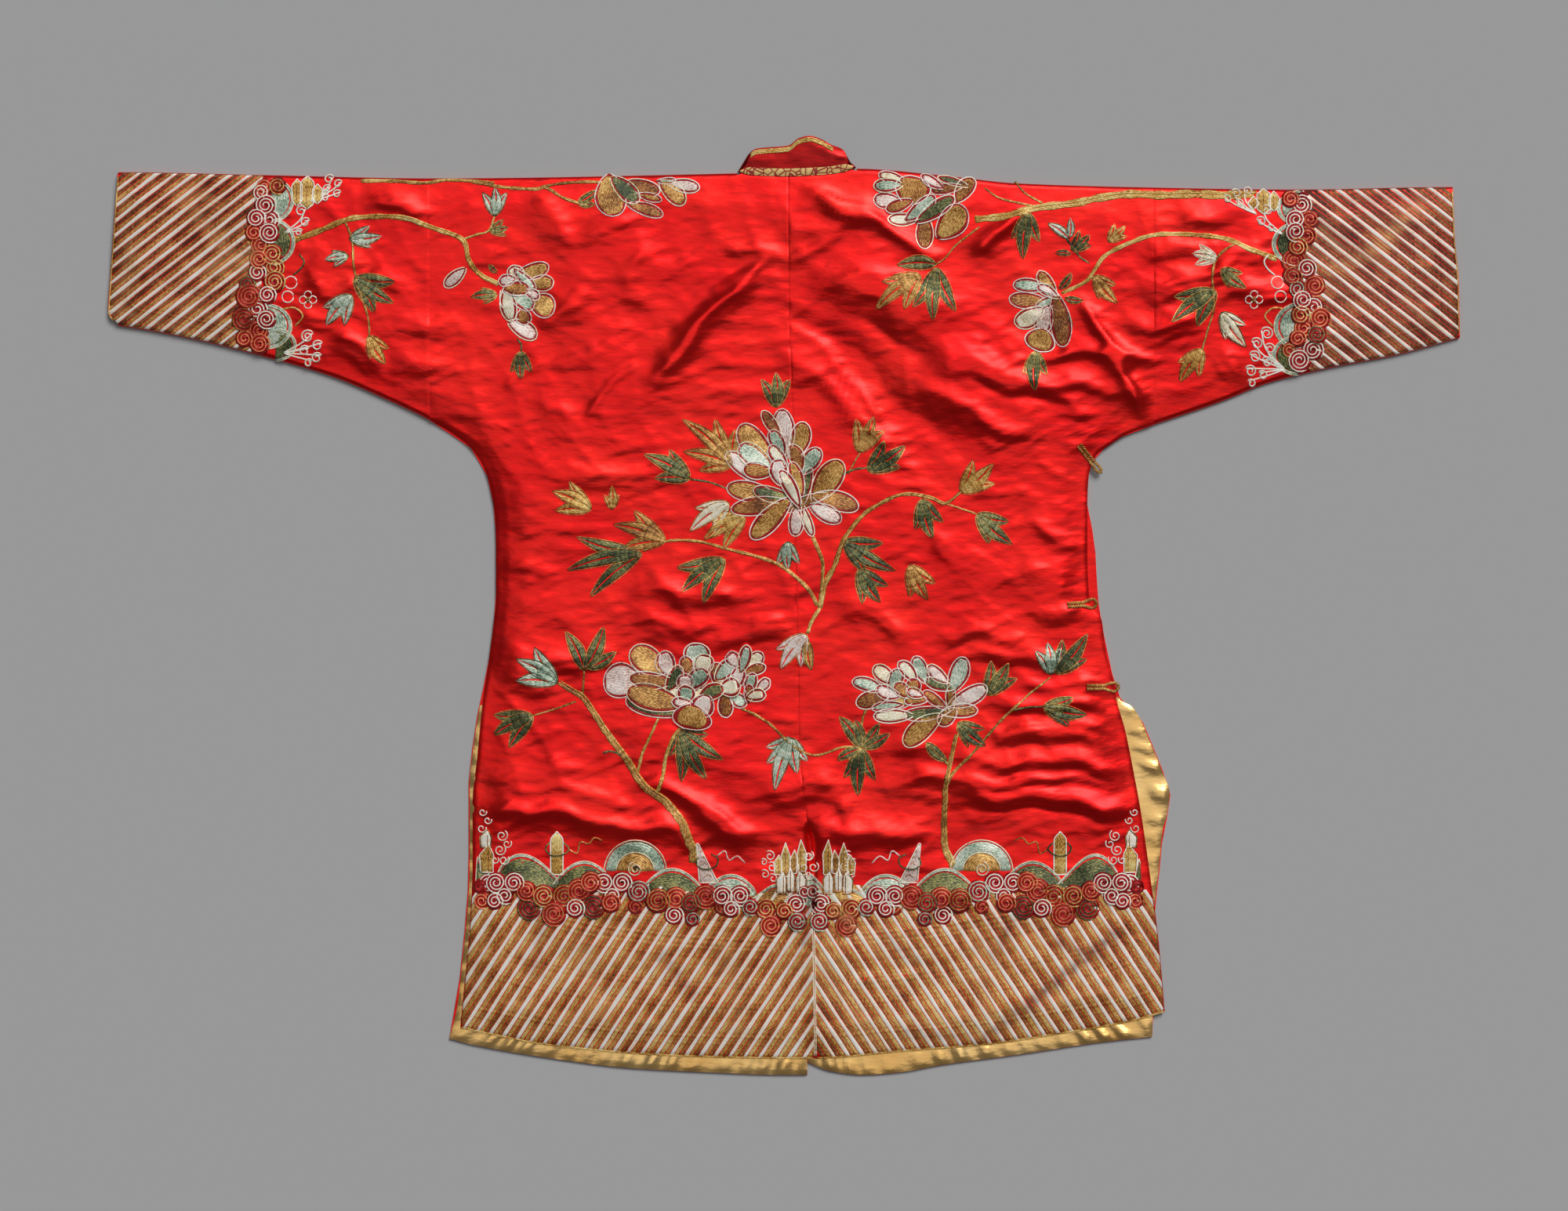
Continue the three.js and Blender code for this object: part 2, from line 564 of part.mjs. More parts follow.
function hemBorder(name, half) {
  const hem = read(BACK_HEM, "x", "y", CENTRE_SEAM[0].x);
  const rows = Math.round((ROWS * (BORDER_TOP - hem)) / (NECK_LEFT.y - hem));
  return wall(name, half.columns, rows, raised(half.point, SEAM, COUCHING), COUCHED_GOLD);
}

function cuffBorder(name, side, tube) {
  const columns = SLEEVE_TOP_POINTS - 1;
  const up = raised(tube.point, SEAM, COUCHING);
  const point = (i, j) => up(side < 0 ? i : columns - i, j + SLEEVE_STATIONS);
  return wall(name, columns, CUFF_STATIONS, point, COUCHED_GOLD);
}

// The front's lining where it shows: a strip along the vent, round the corner and along the hem.
function frontLining(name, side, path) {
  const columns = 2;
  const point = (i, j) => {
    const [outer, inner] = path[j];
    const f = side < 0 ? i / columns : 1 - i / columns;
    return sheetAt(mix(outer[0], inner[0], f), mix(outer[1], inner[1], f),
      MIDDLE_LEVEL, MIDDLE_LEVEL + LINING);
  };
  return wall(name, columns, path.length - 1, point, GOLD_SATIN);
}

function liningPath(side, edge, frontHem, hemEnd) {
  const ventRows = 9;
  const hemRows = 10;
  const path = [];
  const hemAt = (x) => read(frontHem, "x", "y", x);
  const cornerX = edge[0].x;
  for (let k = 0; k < hemRows; k += 1) {
    const x = mix(hemEnd, cornerX + side * -LINING_WIDTH, k / hemRows);
    const outerX = mix(hemEnd, cornerX - side * LINING_INSET, k / hemRows);
    path.push([[outerX, hemAt(outerX) + LINING_INSET], [x, hemAt(x) + LINING_WIDTH]]);
  }
  const hemCorner = hemAt(cornerX) + LINING_INSET;
  const insideCorner = hemAt(cornerX - side * LINING_WIDTH) + LINING_WIDTH;
  for (let k = 0; k <= ventRows; k += 1) {
    const outerY = mix(hemCorner, VENT_TOP - 4, k / ventRows);
    const innerY = mix(insideCorner, VENT_TOP - 4, k / ventRows);
    path.push([
      [read(edge, "y", "x", outerY) - side * LINING_INSET, outerY],
      [read(edge, "y", "x", innerY) - side * LINING_WIDTH, innerY],
    ]);
  }
  return path;
}

// Collar: its back stands up from the back neckline and lies flat, and its ends turn under and
// follow the front neckline inside the neck opening.
const COLLAR_ROWS = 3;
const COLLAR_BACK_CELLS = 10;
const COLLAR_LIFT = 1.2; // the base trim covers this space above the curved neckline
const collarBase = (x) => read(BACK_NECK, "x", "y", x) + COLLAR_LIFT;
function collarBack(s, h) {
  const baseX = mix(NECK_LEFT.x + 0.5, NECK_RIGHT.x - 0.5, s);
  const topX = read(COLLAR_TOP, "s", "x", s);
  const topY = read(COLLAR_TOP, "s", "y", s);
  return [mix(baseX, topX, h), mix(collarBase(baseX), topY, h)];
}

function collarFront(half, t, h) {
  const inward = 1.3 * Math.sign(half.neckEnd - half.neck.x);
  const [x, y] = neckCurve(half, t);
  const start = collarBack(half === LEFT ? 0 : 1, h);
  const turned = [start[0] + inward * 1.9, start[1]];
  if (t === 0) return turned;
  const gap = half === LEFT ? 7.6 : 12.2; // the two ends stay apart at the centre front
  const beyond = half === LEFT ? Math.min(x + inward, gap) : Math.max(x + inward, gap);
  const top = [mix(turned[0], gap, Math.sin(radians(90 * t))), y + mix(26, COLLAR_HEIGHT, t)];
  const base = [t === 1 ? gap : beyond, y + 2];
  return [mix(base[0], top[0], h), mix(base[1], top[1], h)];
}

function collarBand() {
  const turns = FOLD_ANGLES.length;
  const cells = NECK_COLUMNS;
  const stations = 2 * (cells + turns + 1) + COLLAR_BACK_CELLS;
  const point = (i, j) => {
    const h = j / COLLAR_ROWS;
    const fromEnd = i <= stations / 2 ? i : stations - i;
    const half = i <= stations / 2 ? LEFT : RIGHT;
    const s = half === LEFT ? 0 : 1;
    if (fromEnd <= cells) {
      const [x, y] = collarFront(half, 1 - fromEnd / cells, h);
      return { inner: [x, y, FRONT_LEVEL + CLOTH], outer: [x, y, FRONT_LEVEL] };
    }
    const [cx, cy] = collarFront(half, 0, h);
    if (fromEnd <= cells + turns) {
      const turn = FOLD_ANGLES[cells + turns - fromEnd];
      return turnPoint(cx, cy, s === 0 ? -1 : 1, 0, radians(turn));
    }
    const k = i - cells - turns - 1;
    const [x, y] = k === 0 || k === COLLAR_BACK_CELLS ? [cx, cy]
      : collarBack(k / COLLAR_BACK_CELLS, h);
    return sheetAt(x, y, BACK_LEVEL, BACK_LEVEL + CLOTH);
  };
  return wall("collar_band", stations, COLLAR_ROWS, point, SATIN);
}

// Ribbon over the seam between collar and back, and braid below the collar's top edge.
function collarTrims() {
  const cells = 12;
  const level = BACK_LEVEL + CLOTH + 3 * SEAM;
  const base = (i, j) => {
    const x = mix(NECK_LEFT.x + 3, NECK_RIGHT.x - 3, i / cells);
    const y = collarBase(x) - BASE_TRIM_DROP + j * BASE_TRIM_WIDTH;
    return sheetAt(x, y, level, level + BRAID);
  };
  const top = (i, j) => {
    const [x, y] = collarBack(mix(0.04, 0.96, i / cells), 1);
    const lower = y - TOP_TRIM_INSET - (1 - j) * TOP_TRIM_WIDTH;
    return sheetAt(x, lower, level - 2 * SEAM, level - 2 * SEAM + BRAID);
  };
  return [
    wall("collar_base_trim", cells, 1, base, BROCADE),
    wall("collar_top_trim", cells, 1, top, BROCADE),
  ];
}

// Highest point of a mesh above (x, y), or zero where it has none.
function heightOn(mesh, x, y) {
  const { position } = mesh.geometry.attributes;
  const { array } = mesh.geometry.index;
  let highest = 0;
  for (let k = 0; k < array.length; k += 3) {
    const [a, b, c] = [0, 1, 2].map((m) => {
      const v = array[k + m];
      return [position.getX(v), position.getY(v), position.getZ(v)];
    });
    const area = (b[0] - a[0]) * (c[1] - a[1]) - (c[0] - a[0]) * (b[1] - a[1]);
    if (Math.abs(area) < 1e-6) continue;
    const p = ((x - a[0]) * (c[1] - a[1]) - (c[0] - a[0]) * (y - a[1])) / area;
    const q = ((b[0] - a[0]) * (y - a[1]) - (x - a[0]) * (b[1] - a[1])) / area;
    if (p < 0 || q < 0 || p + q > 1) continue;
    highest = Math.max(highest, a[2] + p * (b[2] - a[2]) + q * (c[2] - a[2]));
  }
  return highest;
}

// Fastening loops: a doubled gold cord with an eye at its free end, sewn down at the other.
const CORD_RADIUS = 1.3;
const LOOPS = table("name x y tipX tipY eye", [
  ["loop_1", 289.5, 157.5, 312, 130.5, 1.6],
  ["loop_2", 278, 0.4, 307, 2.4, 4.2],
  ["loop_3", 297, -80, 328.5, -80, 4.2],
]);
const LOOP_STEPS = 22;
const FALL_PAST_EDGE = 0.6; // how far a loop sinks where it runs out past the back's edge
const LOOP_CLEARANCE = 0.45;

function fasteningLoop(loop, carrier) {
  const length = Math.hypot(loop.tipX - loop.x, loop.tipY - loop.y);
  const [ux, uy] = [(loop.tipX - loop.x) / length, (loop.tipY - loop.y) / length];
  const apart = CORD_RADIUS + 0.25;
  // half of the hairpin: distance along it and distance from its middle line
  const run = [[0, apart], [0.3, apart], [0.55, apart], [0.7, Math.max(apart, loop.eye * 0.8)],
    [0.85, Math.max(apart, loop.eye)], [0.95, Math.max(apart, loop.eye) * 0.75], [1, 0]];
  const hairpin = [...run, ...run.slice(0, -1).reverse().map(([a, w]) => [a, -w])];
  const points = hairpin.map(([a, w]) => {
    const x = loop.x + ux * a * length - uy * w;
    const y = loop.y + uy * a * length + ux * w;
    return new THREE.Vector3(x, y, 0);
  });
  for (const p of points) {
    let level = BACK_LEVEL + CLOTH - FALL_PAST_EDGE;
    for (const ox of [-CORD_RADIUS, 0, CORD_RADIUS]) {
      for (const oy of [-CORD_RADIUS, 0, CORD_RADIUS]) {
        level = Math.max(level, heightOn(carrier, p.x + ox, p.y + oy));
      }
    }
    p.z = level + CORD_RADIUS + LOOP_CLEARANCE;
  }
  const section = new THREE.Shape();
  section.absarc(0, 0, CORD_RADIUS, 0, 2 * Math.PI);
  const geometry = new THREE.ExtrudeGeometry(section, {
    steps: LOOP_STEPS,
    curveSegments: 3,
    bevelEnabled: false,
    extrudePath: new THREE.CatmullRomCurve3(points),
  });
  return meshOf(loop.name, geometry, GOLD_CORD);
}

const left = bodyHalf("body_left", LEFT);
const right = bodyHalf("body_right", RIGHT);
const sleeveLeft = sleeve("sleeve_left", -1, SLEEVE_SEAM_LEFT, CUFF_BORDER_LEFT, CUFF_LEFT);
const sleeveRight = sleeve("sleeve_right", 1, SLEEVE_SEAM_RIGHT, CUFF_BORDER_RIGHT, CUFF_RIGHT);

const group = new THREE.Group();
group.add(
  left.mesh,
  right.mesh,
  frontOverlap(),
  sleeveLeft.mesh,
  sleeveRight.mesh,
  collarBand(),
  ...collarTrims(),
  frontLining("lining_front_left", -1, liningPath(-1, FRONT_LEFT_SIDE, FRONT_LEFT_HEM, 20)),
  frontLining("lining_front_right", 1, liningPath(1, OVERLAP_SIDE, OVERLAP_HEM, 25)),
  hemBorder("hem_border_left", left),
  hemBorder("hem_border_right", right),
  cuffBorder("cuff_border_left", -1, sleeveLeft),
  cuffBorder("cuff_border_right", 1, sleeveRight),
  ...LOOPS.map((loop) => fasteningLoop(loop, right.mesh)),
);

export default group;
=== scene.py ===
import math

import bpy
import numpy as np
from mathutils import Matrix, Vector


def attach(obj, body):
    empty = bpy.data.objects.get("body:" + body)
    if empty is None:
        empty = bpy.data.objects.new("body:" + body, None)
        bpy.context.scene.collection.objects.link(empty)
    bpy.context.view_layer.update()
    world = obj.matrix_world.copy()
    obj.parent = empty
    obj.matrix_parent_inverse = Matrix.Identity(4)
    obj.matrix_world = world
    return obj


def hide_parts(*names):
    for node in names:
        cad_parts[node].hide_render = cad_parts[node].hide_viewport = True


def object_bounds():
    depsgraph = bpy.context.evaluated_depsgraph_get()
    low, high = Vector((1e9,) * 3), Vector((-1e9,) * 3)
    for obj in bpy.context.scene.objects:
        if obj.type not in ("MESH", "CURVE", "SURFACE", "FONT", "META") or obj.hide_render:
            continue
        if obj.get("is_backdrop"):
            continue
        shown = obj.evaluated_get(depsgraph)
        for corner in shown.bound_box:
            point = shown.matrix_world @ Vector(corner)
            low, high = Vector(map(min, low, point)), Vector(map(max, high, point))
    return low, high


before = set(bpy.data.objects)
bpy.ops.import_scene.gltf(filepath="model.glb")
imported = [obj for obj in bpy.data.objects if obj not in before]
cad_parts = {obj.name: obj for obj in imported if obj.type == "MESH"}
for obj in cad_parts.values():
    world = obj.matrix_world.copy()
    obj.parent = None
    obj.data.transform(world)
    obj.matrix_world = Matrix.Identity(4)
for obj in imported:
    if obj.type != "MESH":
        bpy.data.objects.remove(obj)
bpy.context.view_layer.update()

# Camera straight above the laid-out jacket, on a long lens, so that the whole outline shows with
# hardly any perspective.
VIEW_WIDTH, CLOTH_TOP = 1.54, 0.006


def in_scene(name, data):
    """A new object of the data, linked to the scene."""
    thing = bpy.data.objects.new(name, data)
    bpy.context.scene.collection.objects.link(thing)
    return thing


camera = in_scene("camera", bpy.data.cameras.new("camera"))
camera.location = (0, 0, 4)
camera.data.lens = camera.data.sensor_width * (camera.location.z - CLOTH_TOP) / VIEW_WIDTH
bpy.context.scene.camera = camera
bpy.context.scene.view_settings.view_transform = "Standard"

# Studio: a pale grey floor, a wide even light from the upper right and a weaker one from above,
# in a dim grey room.
world = bpy.data.worlds.new("room")
world.use_nodes = True
world.node_tree.nodes["Background"].inputs["Color"].default_value = (0.085, 0.085, 0.09, 1)
bpy.context.scene.world = world
for name, place, wide, strength in (
    ("key_light", (1.0, 1.9, 2.1), 30, 2.15),
    ("overhead_light", (0.1, 0.5, 3.0), 50, 0.42),
):
    light = in_scene(name, bpy.data.lights.new(name, "SUN"))
    light.data.angle = math.radians(wide)
    light.data.energy = strength
    light.location = place
    light.rotation_euler = (-light.location).to_track_quat("-Z", "Y").to_euler()


def new_material(name):
    """A material with its nodes, its links and its shader."""
    material = bpy.data.materials.new(name)
    material.use_nodes = True
    nodes, links = material.node_tree.nodes, material.node_tree.links
    return material, nodes, links, nodes["Principled BSDF"]


floor = in_scene("floor", bpy.data.meshes.new("floor"))
floor.data.from_pydata([(-9, -9, 0), (9, -9, 0), (9, 9, 0), (-9, 9, 0)], [], [(0, 1, 2, 3)])
paper, nodes, links, shader = new_material("grey_paper")
shader.inputs["Base Color"].default_value = (0.45, 0.45, 0.45, 1)
shader.inputs["Roughness"].default_value = 0.9
shader.inputs["Specular IOR Level"].default_value = 0.1
floor.data.materials.append(paper)
floor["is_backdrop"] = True

# The cut. Red silk satin, cut in one piece for each half, back and front, without a shoulder
# seam. All the tables are in millimetres, and the meshes are made in metres.
MM = 0.001
CLOTH = 1.5
# a seam's gap, the undersides of the middle layer and of the back, and a turned edge's radius
SEAM = 0.02
MIDDLE_LEVEL = 1.8
BACK_LEVEL = 3.3
FOLD_OUTER = 2.4
SLEEVE_SEAM_LEFT, SLEEVE_SEAM_RIGHT = -348, 363
CUFF_END_LEFT, CUFF_END_RIGHT = -654.5, 657
ARMHOLE_LEFT, ARMHOLE_RIGHT, ARMHOLE_FOOT = -284, 298, 86
UNDERARM_LEFT, UNDERARM_RIGHT = 182, 177.5
NECK_LEFT, NECK_RIGHT = (-46, 425), (71.5, 429.5)
NECK_DIP = 359
FRONT_NECK_X = 5.4
FRONT_NOTCH = (23, -449)
VENT_TOP = -94
UNDERLAP_HEM, UNDERLAP_EDGE = -84, 15

# height, x
LEFT_WAIST = [
    (-60, -291), (-22, -286), (9, -283), (55, -283), (86, -284), (117, -289), (138, -296),
    (155, -308), (168, -324), (182, -348),
]
BACK_LEFT_SIDE = [
    (-415, -318), (-392, -316), (-330, -310), (-253, -306), (-195, -306), (-145, -301), (-103, -297),
    *LEFT_WAIST,
]
BACK_RIGHT_SIDE = [
    (-399, 374), (-330, 368), (-253, 358), (-199, 350), (-161, 343), (-122, 335), (-94, 327),
    (-68, 322), (-45, 316), (-14, 312), (5, 300), (55, 298), (94, 298), (124, 299),
    (147, 306), (157, 319), (169, 338), (177.5, 363),
]
FRONT_LEFT_SIDE = [
    (-426, -329), (-399, -323), (-368, -319), (-253, -310), (-176, -310), (-145, -307), (-94, -299),
    *LEFT_WAIST,
]
OVERLAP_SIDE = [
    (-424, 362), (-403, 363), (-315, 364), (-253, 370), (-222, 373), (-207, 377), (-184, 380),
    (-164, 373), (-137, 362), (-99, 343), (-94, 332), (-45, 318), (5, 309), (67, 305),
    (90, 299), (124, 297), (147, 298),
]
CENTRE_SEAM = [
    (-445, 31), (-322, 29), (-245, 27), (-214, 23), (-137, 15), (-60, 14), (55, 11),
    (209, 8), (286, 5), (425, 4),
]
# x, height
OVERLAP_CLOSING = [
    (14, 357), (60, 331), (120, 300), (180, 262), (240, 212), (280, 170), (300, 147),
]
BACK_HEM = [
    (-318, -415), (-231, -432), (-116, -442), (0, -445), (31, -445), (116, -438),
    (193, -432), (270, -421), (347, -407), (374, -399),
]
FRONT_LEFT_HEM = [
    (-329, -426), (-308, -431.6), (-231, -445), (-154, -454.7), (-77, -459), (0, -461.6),
    (23, -461.6),
]
OVERLAP_HEM = [
    (23, -449), (46, -458), (77, -461.6), (115, -459), (154, -452), (231, -441.6),
    (308, -430), (362, -424),
]
SHOULDER = [
    (-664, 426), (-654.5, 426), (-500, 423), (-348, 420), (-46, 425), (71.5, 429.5),
    (154, 423), (231, 415), (363, 411), (500, 409), (657, 411.5), (664, 411.5),
]
BACK_NECK = [(-46, 425.4), (0, 423.5), (38.5, 425), (71.5, 429.9)]
SLEEVE_LOWER = [
    (-664, 276), (-654.5, 275), (-593, 264.5), (-516, 246), (-447, 226), (-385, 200),
    (-348, 182), (-324, 168), (-308, 155), (-296, 138), (-289, 117), (-284, 86),
    (298, 94), (299, 124), (306, 147), (319, 157), (338, 169),
    (363, 177.5), (431, 201), (477, 219), (539, 234), (601, 246), (664, 263),
]
# share of the way up, x
CUFF_LEFT = [(0, -654.5), (0.071, -664), (0.3, -662), (1, -654.5)]
CUFF_RIGHT = [(0, 664), (0.36, 663), (0.67, 659), (1, 657)]


def read(rows, at):
    """The table's second column over its first, on a smooth curve through its rows that doesn't
    overshoot: cubic pieces whose slope at a row is the harmonic mean of the chords beside it."""
    x, y = np.array(rows, float).T
    chord = np.diff(y) / np.diff(x)
    slope = np.concatenate([chord[:1], np.zeros(len(x) - 2), chord[-1:]])
    same = chord[:-1] * chord[1:] > 0
    slope[1:-1][same] = 2 / (1 / chord[:-1][same] + 1 / chord[1:][same])
    at = np.clip(at, x[0], x[-1])
    k = np.clip(np.searchsorted(x, at, side="right") - 1, 0, len(x) - 2)
    step = x[k + 1] - x[k]
    t = (at - x[k]) / step
    return ((1 + 2 * t) * (1 - t) ** 2 * y[k] + t * (1 - t) ** 2 * step * slope[k]
            + t * t * (3 - 2 * t) * y[k + 1] + t * t * (t - 1) * step * slope[k + 1])


def ease(t):
    """Smooth step from 0 to 1 as t goes from 0 to 1."""
    t = np.clip(t, 0, 1)
    return t * t * (3 - 2 * t)


def mix(a, b, t):
    """From a to b in a straight line as t goes from 0 to 1."""
    return a + (b - a) * t


# Folds of the laid-out back and sleeves: middle, half length, turn from X in degrees, sideways
# bow of the ends, half width and rise of the crest. The first rows are the largest.
FOLDS = [
    (-228, 378, 34, -45, 3, 12, 5), (-175, 372, 30, 15, 3, 11, 4), (-148, 330, 35, 84, 4, 14, 4),
    (-212, 298, 35, 32, 3, 11, 4), (-78, 280, 85, 46, 8, 10, 6.5), (-190, 246, 35, 15, 0, 12, 3.5),
    (-30, 347, 32, -8, 2, 9, 4.5), (-222, 190, 28, -35, 0, 10, 3.5),
    (-160, 131, 60, -3, 2, 10, 3.5),
    (-95, 14, 60, -3, 4, 11, 5), (-104, -17, 42, -8, 0, 10, 4), (-36, -28, 40, 15, 2, 9, 4),
    (-228, -51, 62, 0, 1, 9, 4.5), (-250, -74, 36, -5, 1, 9, 3), (-250, 33, 30, -4, 1, 9, 3),
    (-240, -165, 46, 3, 2, 9, 4), (-216, -182, 56, -4, 2, 9, 4.5), (-200, -208, 115, -8, 4, 11, 8),
    (-165, -194, 40, 0, 1, 9, 4), (-90, -194, 62, -28, 4, 11, 7), (-62, -216, 38, -20, 2, 9, 5),
    (20, -179, 44, 5, 5, 10, 5), (66, -202, 26, -65, 0, 9, 4), (40, -240, 28, -85, 0, 10, 3),
    (28, 371, 30, 0, 1, 9, 4), (24, 349, 30, 25, 0, 8, 3.5),
    (55, 400, 42, -22, 3, 9, 3.5), (85, 374, 74, -25, 4, 10, 5), (208, 362, 36, 37, 2, 10, 6),
    (110, 306, 76, -12, 4, 17, 6), (200, 229, 60, -8, 3, 13, 5), (185, 190, 74, -26, 4, 12, 5.5),
    (58, 203, 92, -45, 6, 14, 6), (92, 222, 120, -40, 6, 14, -3.5), (272, 202, 34, -38, 0, 9, 4),
    (308, 248, 58, 0, 2, 8, 4), (300, 216, 52, -3, 2, 8, 4), (326, 240, 70, -57, 3, 9, 6),
    (95, -10, 42, -30, 0, 9, 3.5), (172, 55, 30, -15, 0, 11, 4), (268, 70, 36, -18, 2, 11, 4),
    (262, 34, 26, 0, 0, 11, 3.5), (200, -31, 44, -6, 1, 11, 4), (262, -8, 28, 0, 0, 9, 3),
    (234, -49, 52, -3, 2, 10, 5), (268, -78, 52, -6, 1, 9, 4), (262, -97, 66, -3, 1, 10, 6),
    (260, -127, 64, -6, 2, 10, 4.5), (140, -142, 30, -10, 0, 9, 3), (255, -154, 88, -3, 2, 10, 5),
    (190, -171, 96, 0, 2, 9, 5), (262, -190, 98, -5, 3, 12, 8), (85, -222, 62, -8, 3, 12, 7),
    (-378, 394, 36, -25, 3, 11, 5), (-438, 338, 26, 0, 1, 9, 4), (-437, 316, 30, -5, 1, 9, 5),
    (-455, 285, 30, -12, 0, 8, 4), (-420, 250, 34, -35, 2, 10, 5), (-360, 241, 30, -3, 0, 9, 3.5),
    (-352, 280, 32, -2, 0, 9, 3.5), (-385, 318, 24, -25, 0, 9, 4),
    (378, 353, 32, 3, 1, 10, 4), (400, 322, 46, 12, 2, 10, 6), (374, 277, 44, 5, 2, 11, 6),
    (425, 387, 36, 5, 2, 12, 5), (450, 343, 30, 3, 0, 9, 5), (468, 311, 34, 0, 1, 9, 4),
    (440, 230, 26, -60, 0, 10, 4),
    (150, 262, 150, -38, 6, 32, 4.5), (75, 195, 120, -42, 8, 26, -3), (-120, 235, 110, 40, 6, 30, 2.5),
    (-230, 110, 60, 20, 0, 26, 2), (240, 20, 90, -12, 3, 26, 2.5), (-60, -150, 110, -20, 5, 24, 2.5),
    (200, -140, 120, -6, 2, 30, 2.5), (-190, 330, 70, 60, 4, 26, 2.5), (-430, 300, 60, -20, 2, 24, 2),
    (420, 300, 70, 14, 3, 24, 2.5),
]
# Finer creases, pressed in while the jacket lay folded away.
CREASES = [
    (-175, 206, 34, 52, 2, 4, 2.4), (-90, 280, 17, 18, 0, 4, 1.8), (-15, 335, 22, 30, 0, 4, 1.6),
    (-15, 335, 20, -60, 0, 4, 1.4), (-232, 140, 32, 29, 1, 4, 1.8), (-220, 132, 22, 20, 0, 4, 1.4),
    (-158, 120, 58, 0, 2, 4, 1.4), (-160, 111, 20, 0, 0, 3, 1.2), (-150, 103, 40, -3, 1, 4, 1.2),
    (-258, 29, 24, -3, 0, 4, -1.8), (-268, 18, 14, -7, 0, 4, -1.4), (-230, -61, 62, 1, 1, 3.5, 1.6),
    (-255, -43, 36, -3, 0, 3.5, 1.5), (-252, -82, 28, 5, 0, 4, 1.4), (-270, -106, 22, -4, 0, 4, 1.4),
    (-20, -19, 18, 22, 0, 3.5, 1.6), (-38, -36, 38, 15, 1, 4, 1.5), (-10, -91, 14, 18, 0, 4, 1.6),
    (-15, -105, 27, -10, 1, 4, 1.6), (-240, -155, 24, 14, 0, 4, 1.6), (20, -192, 36, 5, 3, 4, 2),
    (62, -203, 16, -70, 2, 4, 1.6), (27, -240, 22, -83, 0, 4, -2.4), (44, 402, 46, -18, -3, 4, 2),
    (66, 386, 54, -22, -4, 4, 2), (112, 360, 60, -36, 3, 4, 2), (210, 360, 32, 36, 0, 4, 2.4),
    (305, 245, 56, 2, 2, 4, 2), (302, 211, 50, -4, 1, 4, 1.8), (310, 265, 34, -52, 0, 4, 1.8),
    (344, 212, 38, -63, 2, 4, 2.2), (60, 228, 84, -47, 6, 4.5, 2.4), (105, 262, 46, -30, 2, 8, -2.4),
    (230, 206, 58, -14, 2, 6, -2.2), (225, 163, 32, -18, 0, 4.5, -1.8), (284, 152, 26, -35, 0, 4, 1.8),
    (276, 126, 26, -28, 0, 4, 1.6), (282, 178, 22, -20, 0, 4, -1.8), (280, 96, 24, -10, 0, 4, 1.5),
    (285, 62, 24, 14, 0, 4, 1.5), (262, -120, 64, 0, 1, 3.5, 1.8), (264, -172, 66, 0, 1, 3.5, 1.8),
    (262, -106, 52, -2, 0, 4, -2), (250, -165, 56, -1, 0, 4, -2), (236, -181, 54, 0, 0, 4, -1.8),
    (255, -202, 82, -5, 2, 5, -3), (225, -60, 26, 0, 0, 4, -1.6), (255, -138, 48, -4, 0, 4, -1.6),
    (150, 70, 22, -20, 0, 5, 1.8), (168, 47, 22, -30, 0, 4, 1.6), (270, 64, 36, -22, 0, 4, 1.8),
    (265, 25, 22, 0, 0, 5, 1.5), (275, -2, 27, -2, 0, 4, 1.6), (202, -42, 38, -5, 0, 4, -1.6),
    (90, -17, 38, -28, 2, 5, 1.8), (-378, 388, 28, -28, 1, 4, 1.8), (-450, 328, 16, 0, 0, 4, 1.6),
    (-438, 307, 22, -6, 0, 4, 1.8), (-458, 276, 20, -12, 0, 3.5, 1.6), (-428, 257, 17, -20, 0, 4, 1.6),
    (-425, 238, 26, -34, 1, 4, 1.8), (-360, 272, 28, 0, 0, 4, 1.5), (-370, 233, 22, 0, 0, 4, 1.4),
    (-388, 312, 16, -26, 0, 4, 1.5), (375, 347, 28, 6, 0, 4, 1.6), (402, 312, 42, 11, 2, 4, 2.2),
    (370, 265, 34, 9, 1, 4, 2), (422, 381, 26, -8, 0, 4, 1.6), (450, 335, 24, 3, 0, 4, 1.6),
    (462, 304, 36, 0, 1, 4, 1.8), (430, 225, 20, -56, 0, 4, 1.6), (448, 228, 14, -45, 0, 4, 1.4),
    (150, -120, 46, -8, 1, 5, 1.5), (-120, -150, 44, -6, 1, 5, 1.5), (-150, 160, 36, 24, 1, 5, 1.4),
    (-60, 150, 30, 60, 0, 5, 1.2), (110, 120, 34, -22, 1, 5, 1.4), (-200, 60, 40, 8, 2, 6, 1.4),
    (220, 110, 38, -14, 2, 6, 1.6), (-255, 230, 30, 40, 1, 5, 1.6), (20, 300, 26, 35, 0, 5, 1.4),
]
LOFT = 3


